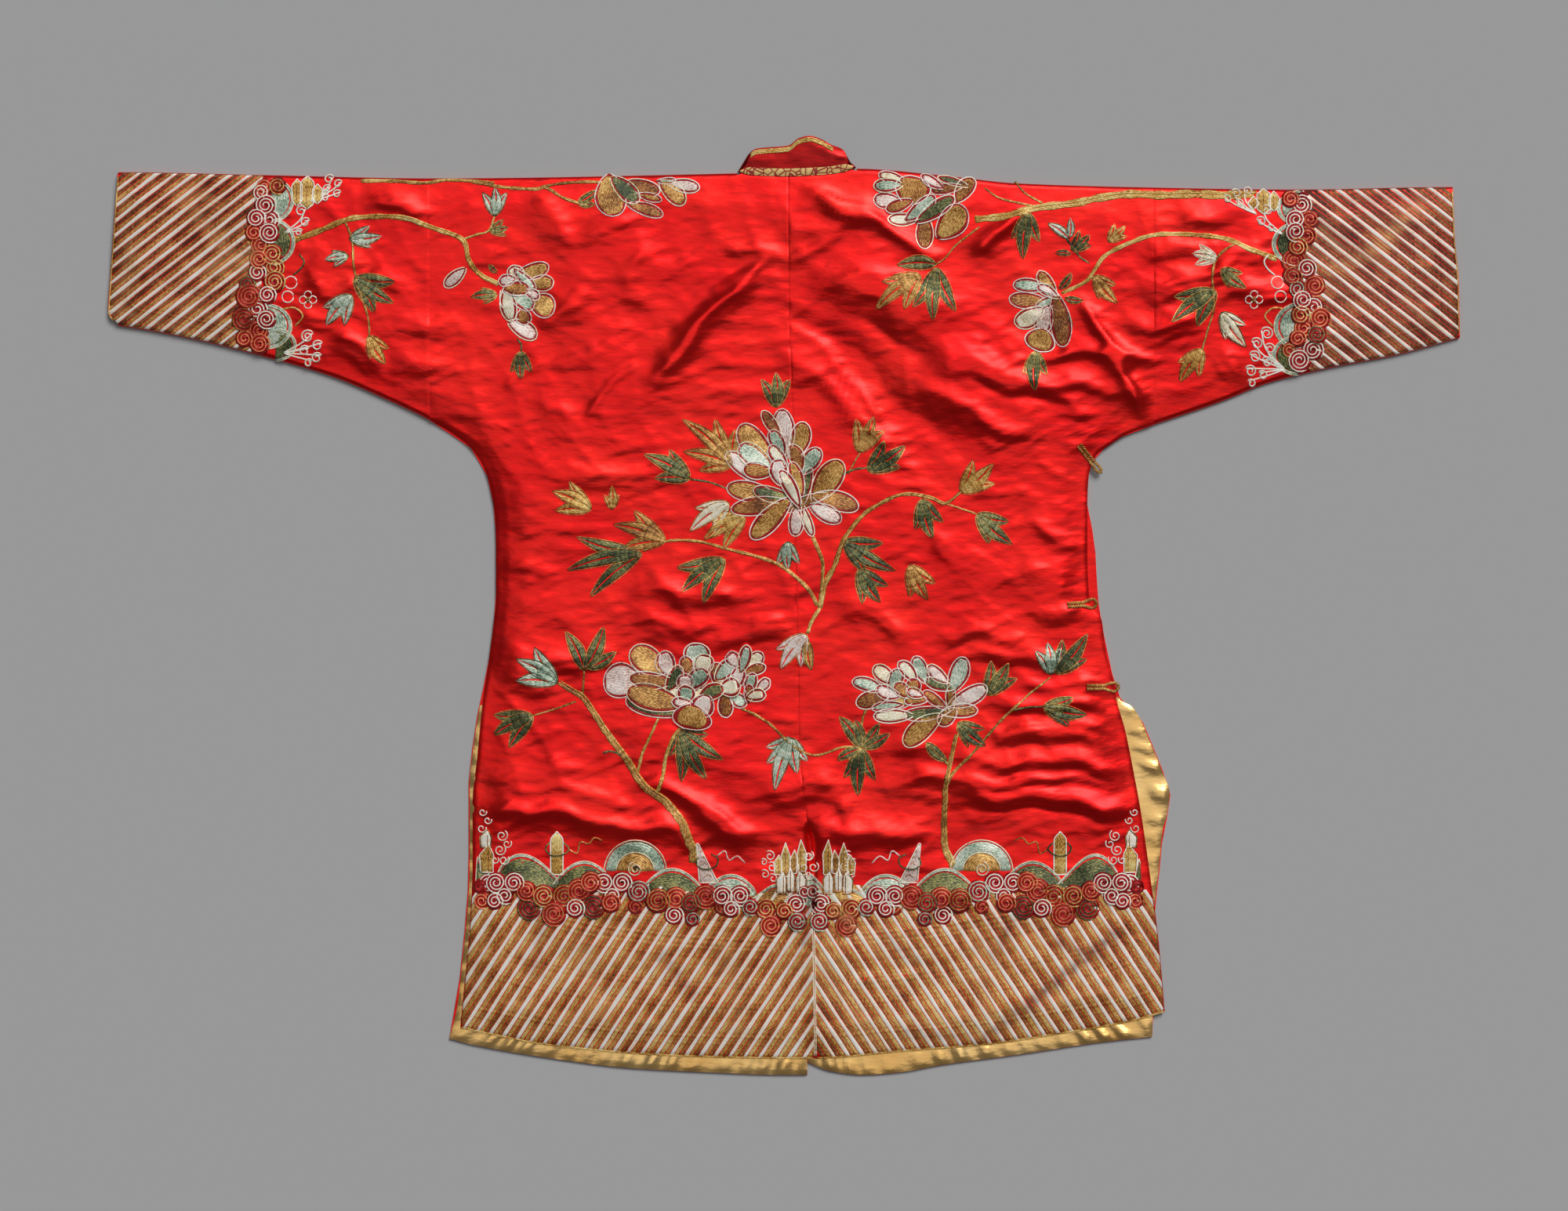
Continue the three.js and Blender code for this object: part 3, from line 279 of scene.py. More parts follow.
def edge_distance(x, y):
    """Distance from places on the back or a sleeve to the garment's nearest edge: the least of
    the distances to shoulder or neckline, sleeve's lower edge, sides, hem and cuffs."""
    in_body = ((x > SLEEVE_SEAM_LEFT) & (x < SLEEVE_SEAM_RIGHT)) | (y < 60)
    at_neck = (x > NECK_LEFT[0]) & (x < NECK_RIGHT[0])
    nearest = np.where(at_neck, read(BACK_NECK, x), read(SHOULDER, x)) - y
    beyond = ((x < ARMHOLE_LEFT) | (x > ARMHOLE_RIGHT)) & (~in_body | (y > ARMHOLE_FOOT))
    nearest = np.where(beyond, np.minimum(nearest, y - read(SLEEVE_LOWER, x)), nearest)
    left = in_body & (y < UNDERARM_LEFT) & (x < 0)
    nearest = np.where(left, np.minimum(nearest, x - read(BACK_LEFT_SIDE, y)), nearest)
    right = in_body & (y < UNDERARM_RIGHT) & (x > 0)
    nearest = np.where(right, np.minimum(nearest, read(BACK_RIGHT_SIDE, y) - x), nearest)
    nearest = np.where(in_body, np.minimum(nearest, y - read(BACK_HEM, x)), nearest)
    cuff = np.where(x < 0, x - CUFF_END_LEFT + 6, CUFF_END_RIGHT + 3 - x)
    return np.maximum(0, np.minimum(nearest, cuff))


def rumple(x, y):
    """Small unevenness of old silk, in millimetres: ridges 1 - |sin|, of seeded plane waves whose
    phase is bent by slower waves, stronger across the body than along it."""
    rng = np.random.default_rng(11)
    height = np.zeros_like(x)
    for length, rise in ((95, 0.65), (62, 0.75), (41, 0.75), (27, 0.65), (17, 0.5), (11, 0.34)):
        for _ in range(3):
            turn = math.radians(rng.normal(90, 32))
            bend_x, bend_y, phase = rng.uniform(0, 2 * math.pi, 3)
            bent = 0.9 * np.sin(x / (length * 0.9) + bend_x) + 0.9 * np.sin(y / (length * 0.7) + bend_y)
            wave = (x * math.cos(turn) + y * math.sin(turn)) * math.pi / length + bent + phase
            patch = 0.5 + 0.5 * np.sin(x / (length * 1.7) + phase) * np.sin(y / (length * 1.3) + bend_x)
            height += rise * patch * (1 - np.abs(np.sin(wave))) ** 1.6
    return height


def fold_height(x, y):
    """Height of the folded cloth above its rest level: loft plus, for each fold, its rise times a
    pointed bell exp(-|a|**1.4) over the distance a across it and an eased run over its length.
    Above the hem a narrow pleat follows the centre seam.
    Places are first shifted by slow waves, which bends the folds, and the edges lie down."""
    height = LOFT + 0.9 * rumple(x, y) - 0.7
    bent_x = x + 3.5 * np.sin(y / 17 + x / 41) + 1.6 * np.sin(y / 7.3 + 1.3)
    bent_y = y + 3.5 * np.sin(x / 19 - y / 53) + 1.6 * np.sin(x / 8.1 + 0.4)
    for fx, fy, reach, turn, bow, width, rise in FOLDS + CREASES:
        c, s = math.cos(math.radians(turn)), math.sin(math.radians(turn))
        rise = rise * min(1, 0.45 + reach / 130)
        along = ((bent_x - fx) * c + (bent_y - fy) * s) / (reach * 1.2)
        across = ((bent_y - fy) * c - (bent_x - fx) * s + bow * along * along) / width
        height = height + rise * np.exp(-(across * across + 0.02) ** 0.7) * ease(1.6 * (1 - np.abs(along)))
    pleat = ease((-205 - y) / 25) * ease((y + 325) / 40)
    height = height - 4.5 * pleat * np.exp(-((x - read(CENTRE_SEAM, y)) / 2.6) ** 2)
    border = ease((-250 - y) / 25) + ease((np.abs(x) - 500) / 25)
    height = np.clip(mix(height, mix(height, LOFT + 0.5, 0.45), np.minimum(1, border)), 0.3, 10.8)
    inside = edge_distance(x, y)
    rest = np.clip(1 - (inside - 0.3) / 5, 0, 1)
    return height * (1 - rest ** 3) * mix(0.26, 1, ease(inside / 34))


def seam_drop(x, y):
    """How far the side seam on the left draws the back down onto the front."""
    from_side = x - read(BACK_LEFT_SIDE, y)
    drop = (BACK_LEVEL - MIDDLE_LEVEL) * (1 - ease(from_side / 14)) * ease((y - VENT_TOP - 15) / 25)
    return np.where((x > 0) | (y > UNDERARM_LEFT), 0, drop)


def seam_groove(away):
    """Depth of the fine groove along a seam, a bell over the distance from it."""
    return 0.22 * np.exp(-(np.abs(away) / 0.9) ** 2)


def back_top(x, y):
    """Height of the back's and sleeves' outer face, with the fine grooves of the seams in it."""
    seam = np.abs(x - read(CENTRE_SEAM, y))
    sleeve = np.minimum(np.abs(x - SLEEVE_SEAM_LEFT), np.abs(x - SLEEVE_SEAM_RIGHT))
    groove = seam_groove(np.minimum(seam, sleeve))
    to_fold = np.where((x > NECK_LEFT[0]) & (x < NECK_RIGHT[0]), FOLD_OUTER, read(SHOULDER, x) - y)
    on_sleeve = ((x < SLEEVE_SEAM_LEFT) | (x > SLEEVE_SEAM_RIGHT)) & (y > 60)
    to_fold = np.where(on_sleeve, np.minimum(to_fold, y - read(SLEEVE_LOWER, x)), to_fold)
    over = np.clip(1 - to_fold / FOLD_OUTER, 0, 1)
    rounding = FOLD_OUTER * (1 - np.sqrt(1 - over ** 2))
    return BACK_LEVEL + CLOTH + fold_height(x, y) - seam_drop(x, y) - groove - rounding


def coons(left, right, bottom, top, f, v):
    """Grid of points between four edges: the blend of left and right over f, plus the blend of
    bottom and top over v, less the blend of the four corners."""
    f, v = f[None, :, None], v[:, None, None]
    corners = mix(mix(bottom[0], bottom[-1], f), mix(top[0], top[-1], f), v)
    return mix(left[:, None], right[:, None], f) + mix(bottom[None], top[None], v) - corners


def pairs(x, y):
    """Points (x, y) along an edge; either may be one number for all."""
    return np.stack(np.broadcast_arrays(np.asarray(x, float), np.asarray(y, float)), -1)


def lay_rows(mesh, uv):
    """UV map of a mesh, from a place in millimetres for each of its vertices."""
    corners = np.empty(len(mesh.loops), np.int32)
    mesh.loops.foreach_get("vertex_index", corners)
    mesh.uv_layers.new(name="rows").data.foreach_set("uv", (uv.reshape(-1, 2) * MM)[corners].ravel())


def cloth_piece(name, grid, thickness, material, keep=None, round_tube=False, uv=None):
    """Thin shell from a grid of points (rows, columns, xyz) in millimetres that is its outer
    face. Cells outside keep are left out, and Solidify gives the wall inwards, with crisp edges. A
    ribbon's uv runs along it and across it, in millimetres."""
    rows, columns = grid.shape[:2]
    number = np.arange(rows * columns).reshape(rows, columns)
    if round_tube:
        number = np.concatenate([number, number[:, :1]], 1)
    quads = np.stack([number[:-1, :-1], number[:-1, 1:], number[1:, 1:], number[1:, :-1]], -1)
    quads = quads.reshape(-1, 4) if keep is None else quads[keep]
    used = np.unique(quads)
    renumber = np.zeros(rows * columns, int)
    renumber[used] = np.arange(len(used))
    mesh = bpy.data.meshes.new(name)
    mesh.from_pydata((grid.reshape(-1, 3)[used] * MM).tolist(), [], renumber[quads].tolist())
    mesh.shade_smooth()
    mesh.materials.append(material)
    sides = np.empty(len(mesh.loops), np.int32)
    mesh.loops.foreach_get("edge_index", sides)
    crisp = mesh.attributes.new("sharp_edge", "BOOLEAN", "EDGE")
    crisp.data.foreach_set("value", np.bincount(sides, minlength=len(mesh.edges)) == 1)
    if uv is not None:
        lay_rows(mesh, uv)
    piece = in_scene(name, mesh)
    wall = piece.modifiers.new("wall", "SOLIDIFY")
    wall.thickness = thickness * MM
    wall.offset = -1
    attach(piece, "root")
    return piece


def noise(nodes, links, coordinates, scale, detail, stretch=(1, 1, 1)):
    """Noise node on coordinates stretched per axis, at so many cells a metre."""
    mapping = nodes.new("ShaderNodeMapping")
    mapping.inputs["Scale"].default_value = stretch
    texture = nodes.new("ShaderNodeTexNoise")
    texture.inputs["Scale"].default_value = scale
    texture.inputs["Detail"].default_value = detail
    links.new(coordinates, mapping.inputs["Vector"])
    links.new(mapping.outputs["Vector"], texture.inputs["Vector"])
    return texture.outputs["Fac"]


def ramp(nodes, links, factor, stops):
    """Colours over a factor, from (position, red, green, blue) stops."""
    node = nodes.new("ShaderNodeValToRGB")
    elements = node.color_ramp.elements
    while len(elements) < len(stops):
        elements.new(0.5)
    for element, (position, *colour) in zip(elements, stops):
        element.position = position
        element.color = (*colour, 1)
    links.new(factor, node.inputs["Fac"])
    return node.outputs["Color"]


def bump(nodes, links, height, distance, below=None):
    """Bump so many metres deep over a height, on top of the bump below it."""
    node = nodes.new("ShaderNodeBump")
    node.inputs["Distance"].default_value = distance
    links.new(height, node.inputs["Height"])
    if below is not None:
        links.new(below, node.inputs["Normal"])
    return node.outputs["Normal"]


def satin(name, stops, metallic, roughness):
    """Silk satin: long floats give a soft metallic gloss, broken by a fine weave across and
    along, with slow unevenness of dye and of roughness."""
    material, nodes, links, shader = new_material(name)
    place = nodes.new("ShaderNodeTexCoord").outputs["Object"]
    dye = noise(nodes, links, place, 14, 4)
    links.new(ramp(nodes, links, dye, stops), shader.inputs["Base Color"])
    shader.inputs["Metallic"].default_value = metallic
    shader.inputs["Coat Weight"].default_value = 0.25
    shader.inputs["Coat Roughness"].default_value = 0.32
    rough = nodes.new("ShaderNodeMapRange")
    rough.inputs["To Min"].default_value = roughness - 0.05
    rough.inputs["To Max"].default_value = roughness + 0.07
    links.new(noise(nodes, links, place, 60, 3), rough.inputs["Value"])
    links.new(rough.outputs["Result"], shader.inputs["Roughness"])
    weft = noise(nodes, links, place, 1500, 1, (0.12, 1, 1))
    warp = noise(nodes, links, place, 1500, 1, (1, 0.12, 1))
    normal = bump(nodes, links, noise(nodes, links, place, 30, 2, (0.6, 1, 1)), 0.0018)
    normal = bump(nodes, links, noise(nodes, links, place, 105, 2, (0.4, 1, 1)), 0.0008, normal)
    normal = bump(nodes, links, weft, 0.00006, normal)
    links.new(bump(nodes, links, warp, 0.00004, normal), shader.inputs["Normal"])
    return material


RED_SATIN = satin("red_silk_satin", [(0.3, 0.85, 0.002, 0.003), (0.7, 0.98, 0.013, 0.007)], 0.90, 0.33)
# The collar's satin has a darker base colour than the rest of the same satin: painted shade.
COLLAR_SATIN_PAINTED_SHADE = satin("red_silk_satin_painted_shade", [(0.3, 0.28, 0.001, 0.001), (0.7, 0.46, 0.002, 0.002)],
                     0.94, 0.32)

ROWS_BACK, ROWS_FRONT, TURN_STEPS = 290, 26, 8
SIDE_CELLS, NECK_CELLS = 102, 14
UNDERARM_ROWS = 36 / 50


def turned(x, y, ux, uy, degrees):
    """Outer point of cloth that goes over an edge: a half circle round the fold's middle, by
    degrees from straight up towards the direction (ux, uy)."""
    a = np.radians(degrees)
    sweep = FOLD_OUTER * np.sin(a)
    return np.stack(np.broadcast_arrays(x + ux * sweep, y + uy * sweep,
                                        FOLD_OUTER + FOLD_OUTER * np.cos(a)), -1)


def centre_front(y):
    """The centre front's x at a height: straight from the hem up, and on to the neck."""
    t = (y - FRONT_NOTCH[1]) / (NECK_DIP - FRONT_NOTCH[1])
    return mix(FRONT_NOTCH[0], FRONT_NECK_X, np.maximum(0, t))


def body_half(name, side):
    """One half: the back from the hem up, over the shoulder, and down the front. Columns run from
    the outer side to the centre seam, closer together beside it."""
    left = side < 0
    neck = NECK_LEFT if left else NECK_RIGHT
    seam = (SLEEVE_SEAM_LEFT if left else SLEEVE_SEAM_RIGHT) - side * SEAM / 2
    underarm = UNDERARM_LEFT if left else UNDERARM_RIGHT
    back_side = BACK_LEFT_SIDE if left else BACK_RIGHT_SIDE
    front_side = FRONT_LEFT_SIDE if left else BACK_RIGHT_SIDE
    gap = side * SEAM / 2
    neck_x = read(CENTRE_SEAM, NECK_LEFT[1]) + gap
    neck_share = (neck[0] - seam) / (neck_x - seam)
    f = np.concatenate([
        neck_share * np.linspace(0, 1, SIDE_CELLS + 1) ** 1.08,
        mix(neck_share, 1, np.linspace(0, 1, NECK_CELLS + 1)[1:-1] ** 0.8),
        [0.9925, 0.9965, 1],
    ])
    outer_hem = back_side[0]
    centre_hem_x = float(read(CENTRE_SEAM, -445) + gap)
    shoulder_y = float(read(SHOULDER, seam)) - FOLD_OUTER
    v = np.linspace(0, 1, ROWS_BACK + 1)
    share = UNDERARM_ROWS
    y = np.where(v < share, mix(outer_hem[0], underarm, v / share),
                 mix(underarm, shoulder_y, (v - share) / (1 - share)))
    side_edge = pairs(np.where(v >= share, seam, read(back_side, y)), y)
    y = mix(float(read(BACK_HEM, centre_hem_x)), float(read(BACK_NECK, 4)), v)
    centre_edge = pairs(read(CENTRE_SEAM, y) + gap, y)
    x = mix(outer_hem[1], centre_hem_x, f)
    hem_edge = pairs(x, read(BACK_HEM, x))
    x = mix(seam, neck_x, f)
    at_neck = f > neck_share + 1e-6
    top_edge = pairs(x, np.where(at_neck, read(BACK_NECK, x), read(SHOULDER, x) - FOLD_OUTER))
    back = coons(side_edge, centre_edge, hem_edge, top_edge, f, v)
    bx, by = back[..., 0], back[..., 1]
    z = BACK_LEVEL + CLOTH + fold_height(bx, by) - seam_drop(bx, by)
    back = np.dstack([back, z - seam_groove(bx - read(CENTRE_SEAM, by))])

    angles = np.linspace(0, 180, TURN_STEPS + 2)[1:-1, None]
    fold = turned(top_edge[None, :, 0], top_edge[None, :, 1], 0, 1, angles)

    bottom_y = -426 if left else UNDERLAP_HEM
    bottom_x = float(read(front_side, bottom_y))
    centre_at = (lambda q: centre_front(q) - SEAM / 2) if left else (lambda q: 0 * q + UNDERLAP_EDGE)
    hem_at = (lambda q: read(FRONT_LEFT_HEM, q)) if left else (lambda q: 0 * q + UNDERLAP_HEM)
    inner_x = float(centre_at(np.float64(FRONT_NOTCH[1])))
    neck_end = FRONT_NECK_X - SEAM / 2 if left else UNDERLAP_EDGE
    share = (underarm - bottom_y) / (shoulder_y - bottom_y)
    v = np.concatenate([share * np.linspace(0, 1, ROWS_FRONT - 7) ** 0.8,
                        mix(share, 1, np.linspace(0, 1, 8)[1:])])
    y = mix(bottom_y, shoulder_y, v)
    side_edge = pairs(np.where(v >= share, seam, read(front_side, y)), y)
    y = mix(float(hem_at(np.float64(inner_x))), NECK_DIP, v)
    centre_edge = pairs(centre_at(y), y)
    x = mix(bottom_x, inner_x, f)
    hem_edge = pairs(x, hem_at(x))
    t = np.clip((f - neck_share) / (1 - neck_share), 0, 1) * math.pi / 2
    start = neck[1] - FOLD_OUTER
    top_edge = np.where(
        at_neck[:, None],
        pairs(mix(neck_end, neck[0], np.cos(t)), start - (start - NECK_DIP) * np.sin(t)),
        top_edge,
    )
    front = coons(side_edge, centre_edge, hem_edge, top_edge, f, v)
    level = 0 * front[..., 0]
    if not left:
        above = (read(OVERLAP_CLOSING, front[..., 0]) - front[..., 1]) * 0.8
        level = MIDDLE_LEVEL * ease((above + 75) / 40)
    front = np.dstack([front, level])[::-1]

    grid = np.concatenate([back, fold, front])
    keep = np.ones((len(grid) - 1, len(f) - 1), bool)
    keep[ROWS_BACK:ROWS_BACK + TURN_STEPS + 1, SIDE_CELLS:] = False
    if not left:
        grid, keep = grid[:, ::-1], keep[:, ::-1]
    piece = cloth_piece(name, grid, 1.2, RED_SATIN, keep)
    return piece


left_half = body_half("half_left", -1)
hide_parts("body_left")
right_half = body_half("half_right", 1)
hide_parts("body_right")

# Outer front: the panel sewn on at the centre front, which lies lowest, from the centre front to
# the right side and up to its curved closing edge.
share = 12 / 18
v = np.linspace(0, 1, 37)
f = np.linspace(0, 1, 40)
y = np.where(v < share, mix(FRONT_NOTCH[1], 100, v / share),
             mix(100, NECK_DIP, (v - share) / (1 - share)))
left_edge = pairs(centre_front(y) + SEAM / 2, y)
y = mix(OVERLAP_SIDE[0][0], 147, v / share)
x = mix(300, 14, (v - share) / (1 - share))
right_edge = np.where((v < share)[:, None], pairs(read(OVERLAP_SIDE, y), y),
                      pairs(x, read(OVERLAP_CLOSING, x)))
x = mix(FRONT_NOTCH[0] + SEAM / 2, OVERLAP_SIDE[0][1], f)
hem_edge = pairs(x, np.where(f == 0, FRONT_NOTCH[1], read(OVERLAP_HEM, x)))
top_edge = mix(left_edge[-1], right_edge[-1], f[:, None])
grid = coons(left_edge, right_edge, hem_edge, top_edge, f, v)
grid = np.dstack([grid, 0 * grid[..., 0] + CLOTH])
overlap = cloth_piece("front_overlap_panel", grid, 1.3, RED_SATIN)
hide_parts("front_overlap")

# Sleeves: each is a tube laid flat, sewn to the body's edge and open at the cuff.
SLEEVE_ROUND, SLEEVE_ALONG = 84, 110


def sleeve_points(side, g, h):
    """Place on a sleeve's back: g goes from its lower edge up to the shoulder line and h from the
    seam to the cuff."""
    start = (SLEEVE_SEAM_LEFT if side < 0 else SLEEVE_SEAM_RIGHT) + side * SEAM / 2
    x = mix(start, read(CUFF_LEFT if side < 0 else CUFF_RIGHT, g), h)
    low = read(SLEEVE_LOWER, x) + FOLD_OUTER
    return x, mix(low, read(SHOULDER, x) - FOLD_OUTER, g)


def sleeve(name, side):
    """Tube of one sleeve: its back, over the shoulder line, along its flat underside, and round
    its lower edge. Rows run from the seam to the cuff, closer together beside the seam."""
    g = np.linspace(0, 1, SLEEVE_ROUND)[None, :]
    h = np.concatenate([np.linspace(0, 0.012, 3)[:-1], np.linspace(0.012, 1, SLEEVE_ALONG)])[:, None]
    x, y = sleeve_points(side, g, h)
    top = np.dstack([x, y, BACK_LEVEL + CLOTH + fold_height(x, y) - seam_groove(x - x[0, 0])])
    angles = np.linspace(0, 180, TURN_STEPS + 2)[None, 1:-1]
    over = turned(x[:, -1:], y[:, -1:], 0, 1, angles)
    under = turned(x[:, :1], y[:, :1], 0, -1, angles[:, ::-1])
    low_x, low_y = x[:, ::-4], y[:, ::-4]
    bottom = np.dstack([low_x, low_y, 0 * low_x])
    grid = np.concatenate([top, over, bottom, under], 1)
    piece = cloth_piece(name, grid[:, ::-side], 1.2, RED_SATIN, round_tube=True)
    return piece


left_sleeve = sleeve("sleeve_tube_left", -1)
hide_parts("sleeve_left")
right_sleeve = sleeve("sleeve_tube_right", 1)
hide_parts("sleeve_right")

# Stand collar: a doubled band of the same satin, coloured darker as painted shade. Its back
# stands up from the neckline and lies flat, and its ends turn under and follow the front
# neckline inside the neck opening.
COLLAR_TOP_X = [(0, -35), (0.1, -27), (0.38, 4), (0.5, 15), (0.6, 25), (0.7, 35), (0.82, 46),
                (0.93, 58), (1, 64)]
COLLAR_TOP_Y = [(0, 444), (0.1, 449), (0.38, 452), (0.5, 459.5), (0.6, 461.6), (0.7, 459),
                (0.82, 453), (0.93, 448), (1, 437)]
COLLAR_LIFT = 1.2
COLLAR_HEIGHT = 44
COLLAR_END_LEFT, COLLAR_END_RIGHT = 7.6, 12.2


def collar_base(x):
    """Height of the collar's seam, just above the back's neckline."""
    return read(BACK_NECK, x) + COLLAR_LIFT


def collar_back(s, h):
    """Place on the collar's back, s along it and h from its seam to its top edge."""
    base_x = mix(NECK_LEFT[0] + 0.5, NECK_RIGHT[0] - 0.5, s)
    return (mix(base_x, read(COLLAR_TOP_X, s), h),
            mix(collar_base(base_x), read(COLLAR_TOP_Y, s), h))


def collar_front(side, t, h):
    """Place on one of the collar's ends, t from the neck point to the centre front."""
    neck = NECK_LEFT if side < 0 else NECK_RIGHT
    neck_end = FRONT_NECK_X - SEAM / 2 if side < 0 else UNDERLAP_EDGE
    gap = COLLAR_END_LEFT if side < 0 else COLLAR_END_RIGHT
    inward = -1.3 * side
    angle = t * math.pi / 2
    start = neck[1] - FOLD_OUTER
    x, y = mix(neck_end, neck[0], np.cos(angle)), start - (start - NECK_DIP) * np.sin(angle)
    from_x, from_y = collar_back(0.0 if side < 0 else 1.0, h)
    from_x = from_x + inward * 1.9
    base_x = np.minimum(x + inward, gap) if side < 0 else np.maximum(x + inward, gap)
    top_x, top_y = mix(from_x, gap, np.sin(angle)), y + mix(26, COLLAR_HEIGHT, t)
    along_x, along_y = mix(base_x, top_x, h), np.minimum(mix(y + 2, top_y, h), from_y)
    along_x = np.maximum(along_x, from_x) if side < 0 else np.minimum(along_x, from_x)
    near = ease(t / 0.3)
    return mix(from_x, along_x, near), mix(from_y, along_y, near)


h = np.linspace(0, 1, 12)[:, None]
t = np.linspace(1, 0, 16)[None, :]
sides = []
for side in (-1, 1):
    x, y = collar_front(side, t, h)
    angles = np.linspace(180, 0, TURN_STEPS + 1)[None, 1:]
    over = turned(x[:, -1:], y[:, -1:], side, 0, angles)
    sides.append(np.concatenate([np.dstack([x, y, 0 * x]), over], 1))
x, y = collar_back(np.linspace(0, 1, 42)[None, 1:-1], h)
ends_down = ease((x + 46) / 16) * ease((66 - x) / 16)
crown = 0.7 * rumple(x * 1.6, y * 1.6 + 90) * np.sin(np.pi * h) * ends_down
middle = np.dstack([x, y, BACK_LEVEL + CLOTH + crown])
grid = np.concatenate([sides[0], middle, sides[1][:, ::-1]], 1)
collar = cloth_piece("stand_collar", grid, 1.2, COLLAR_SATIN_PAINTED_SHADE)
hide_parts("collar_band")

# Linings of the fronts: gold silk satin, puckered where it is turned back beside the vents and
# along the hem. Only these strips of it show.
GOLD_SATIN = satin("gold_silk_satin", [(0.3, 0.80, 0.44, 0.12), (0.7, 1.0, 0.66, 0.25)], 0.85, 0.26)
LINING_WIDTH, LINING_INSET = 46, 0.2


def run_along(points):
    """Distance run along a line of points, from its first."""
    return np.concatenate([[0], np.cumsum(np.hypot(*np.diff(points, axis=0).T))])


def front_lining(name, side, edge, front_hem, hem_end):
    """Strip along the front's hem, round its corner and up the vent: j goes along it and i from
    its outer edge inwards. Puckers are ridges across it whose spacing wanders."""
    corner = edge[0][1]
    k = np.linspace(0, 1, 86)[:-1]
    outer_x = mix(hem_end, corner - side * LINING_INSET, k)
    inner_x = mix(hem_end, corner - side * LINING_WIDTH, k)
    outer = pairs(outer_x, read(front_hem, outer_x) + LINING_INSET)
    inner = pairs(inner_x, read(front_hem, inner_x) + LINING_WIDTH)
    k = np.linspace(0, 1, 88)
    top = VENT_TOP - 4 if side < 0 else VENT_TOP + 4
    outer_y = mix(float(read(front_hem, corner)) + LINING_INSET, top, k)
    inner_y = mix(float(read(front_hem, corner - side * LINING_WIDTH)) + LINING_WIDTH, top, k)
    turned_in = LINING_INSET + 0.8 * ease(k / 0.1)
    outer = np.concatenate([outer, pairs(read(edge, outer_y) - side * turned_in, outer_y)])
    inner = np.concatenate([inner, pairs(read(edge, inner_y) - side * LINING_WIDTH, inner_y)])
    f = np.linspace(0, 1, 14)[:, None]
    grid = outer[None] * (1 - f[..., None]) + inner[None] * f[..., None]
    x, y = grid[..., 0], grid[..., 1]
    along = run_along(outer)[None, :]
    wander = 5 * np.sin(along / 37) + 3 * np.sin(along / 13 + 2)
    slant = 10 * f * np.sin(along / 70 + 1)
    pucker = (0.5 + 0.5 * np.sin((along + wander + slant) / 3.4)) ** 2
    pucker = pucker * (0.35 + 0.65 * (0.5 + 0.5 * np.sin(along / 23 + 1)) ** 2)
    open_part = ease((0.55 - f) / 0.35)
    rise = (0.4 + 2.9 * pucker) * ease(f / 0.08) * open_part
    grid = np.dstack([x, y, MIDDLE_LEVEL + 0.9 + rise])
    piece = cloth_piece(name, grid[:, ::side], 0.8, GOLD_SATIN)
    return piece


left_lining = front_lining("lining_strip_left", -1, FRONT_LEFT_SIDE, FRONT_LEFT_HEM, 22.8)
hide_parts("lining_front_left")
right_lining = front_lining("lining_strip_right", 1, OVERLAP_SIDE, OVERLAP_HEM, 23.4)
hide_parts("lining_front_right")

# Couched embroidery: metal thread and silk cord laid in rows on the satin and stitched down.
# Every motif is raised pieces between two lines, gathered by thread for each panel.
THREADS = {
    # name: dark, middle and light of the thread, share of metal; the light flecks are partly painted glints
    "white": ((0.88, 0.70, 0.48), (1.00, 0.95, 0.82), (1.00, 0.99, 0.92), 0.10),
    "gold": ((0.20, 0.075, 0.010), (0.66, 0.34, 0.055), (1.00, 0.80, 0.32), 0.32),
    "russet": ((0.09, 0.022, 0.006), (0.34, 0.110, 0.022), (0.82, 0.42, 0.11), 0.28),
    "bronze": ((0.13, 0.042, 0.008), (0.46, 0.20, 0.034), (0.98, 0.62, 0.20), 0.32),
    "moss": ((0.018, 0.028, 0.012), (0.068, 0.088, 0.032), (0.42, 0.39, 0.14), 0.35),
    "jade": ((0.10, 0.17, 0.11), (0.40, 0.52, 0.38), (0.94, 0.97, 0.82), 0.28),
    "mauve": ((0.42, 0.20, 0.16), (0.88, 0.68, 0.60), (1.00, 0.95, 0.88), 0.25),
    "cream": ((0.52, 0.38, 0.19), (0.92, 0.82, 0.58), (1.00, 0.97, 0.84), 0.22),
    "coral": ((0.40, 0.035, 0.012), (0.82, 0.17, 0.055), (1.00, 0.50, 0.20), 0.30),
    "rust": ((0.050, 0.012, 0.006), (0.165, 0.042, 0.015), (0.52, 0.24, 0.075), 0.35),
    "red": ((0.15, 0.002, 0.003), (0.36, 0.004, 0.005), (0.55, 0.015, 0.012), 0.40),
}


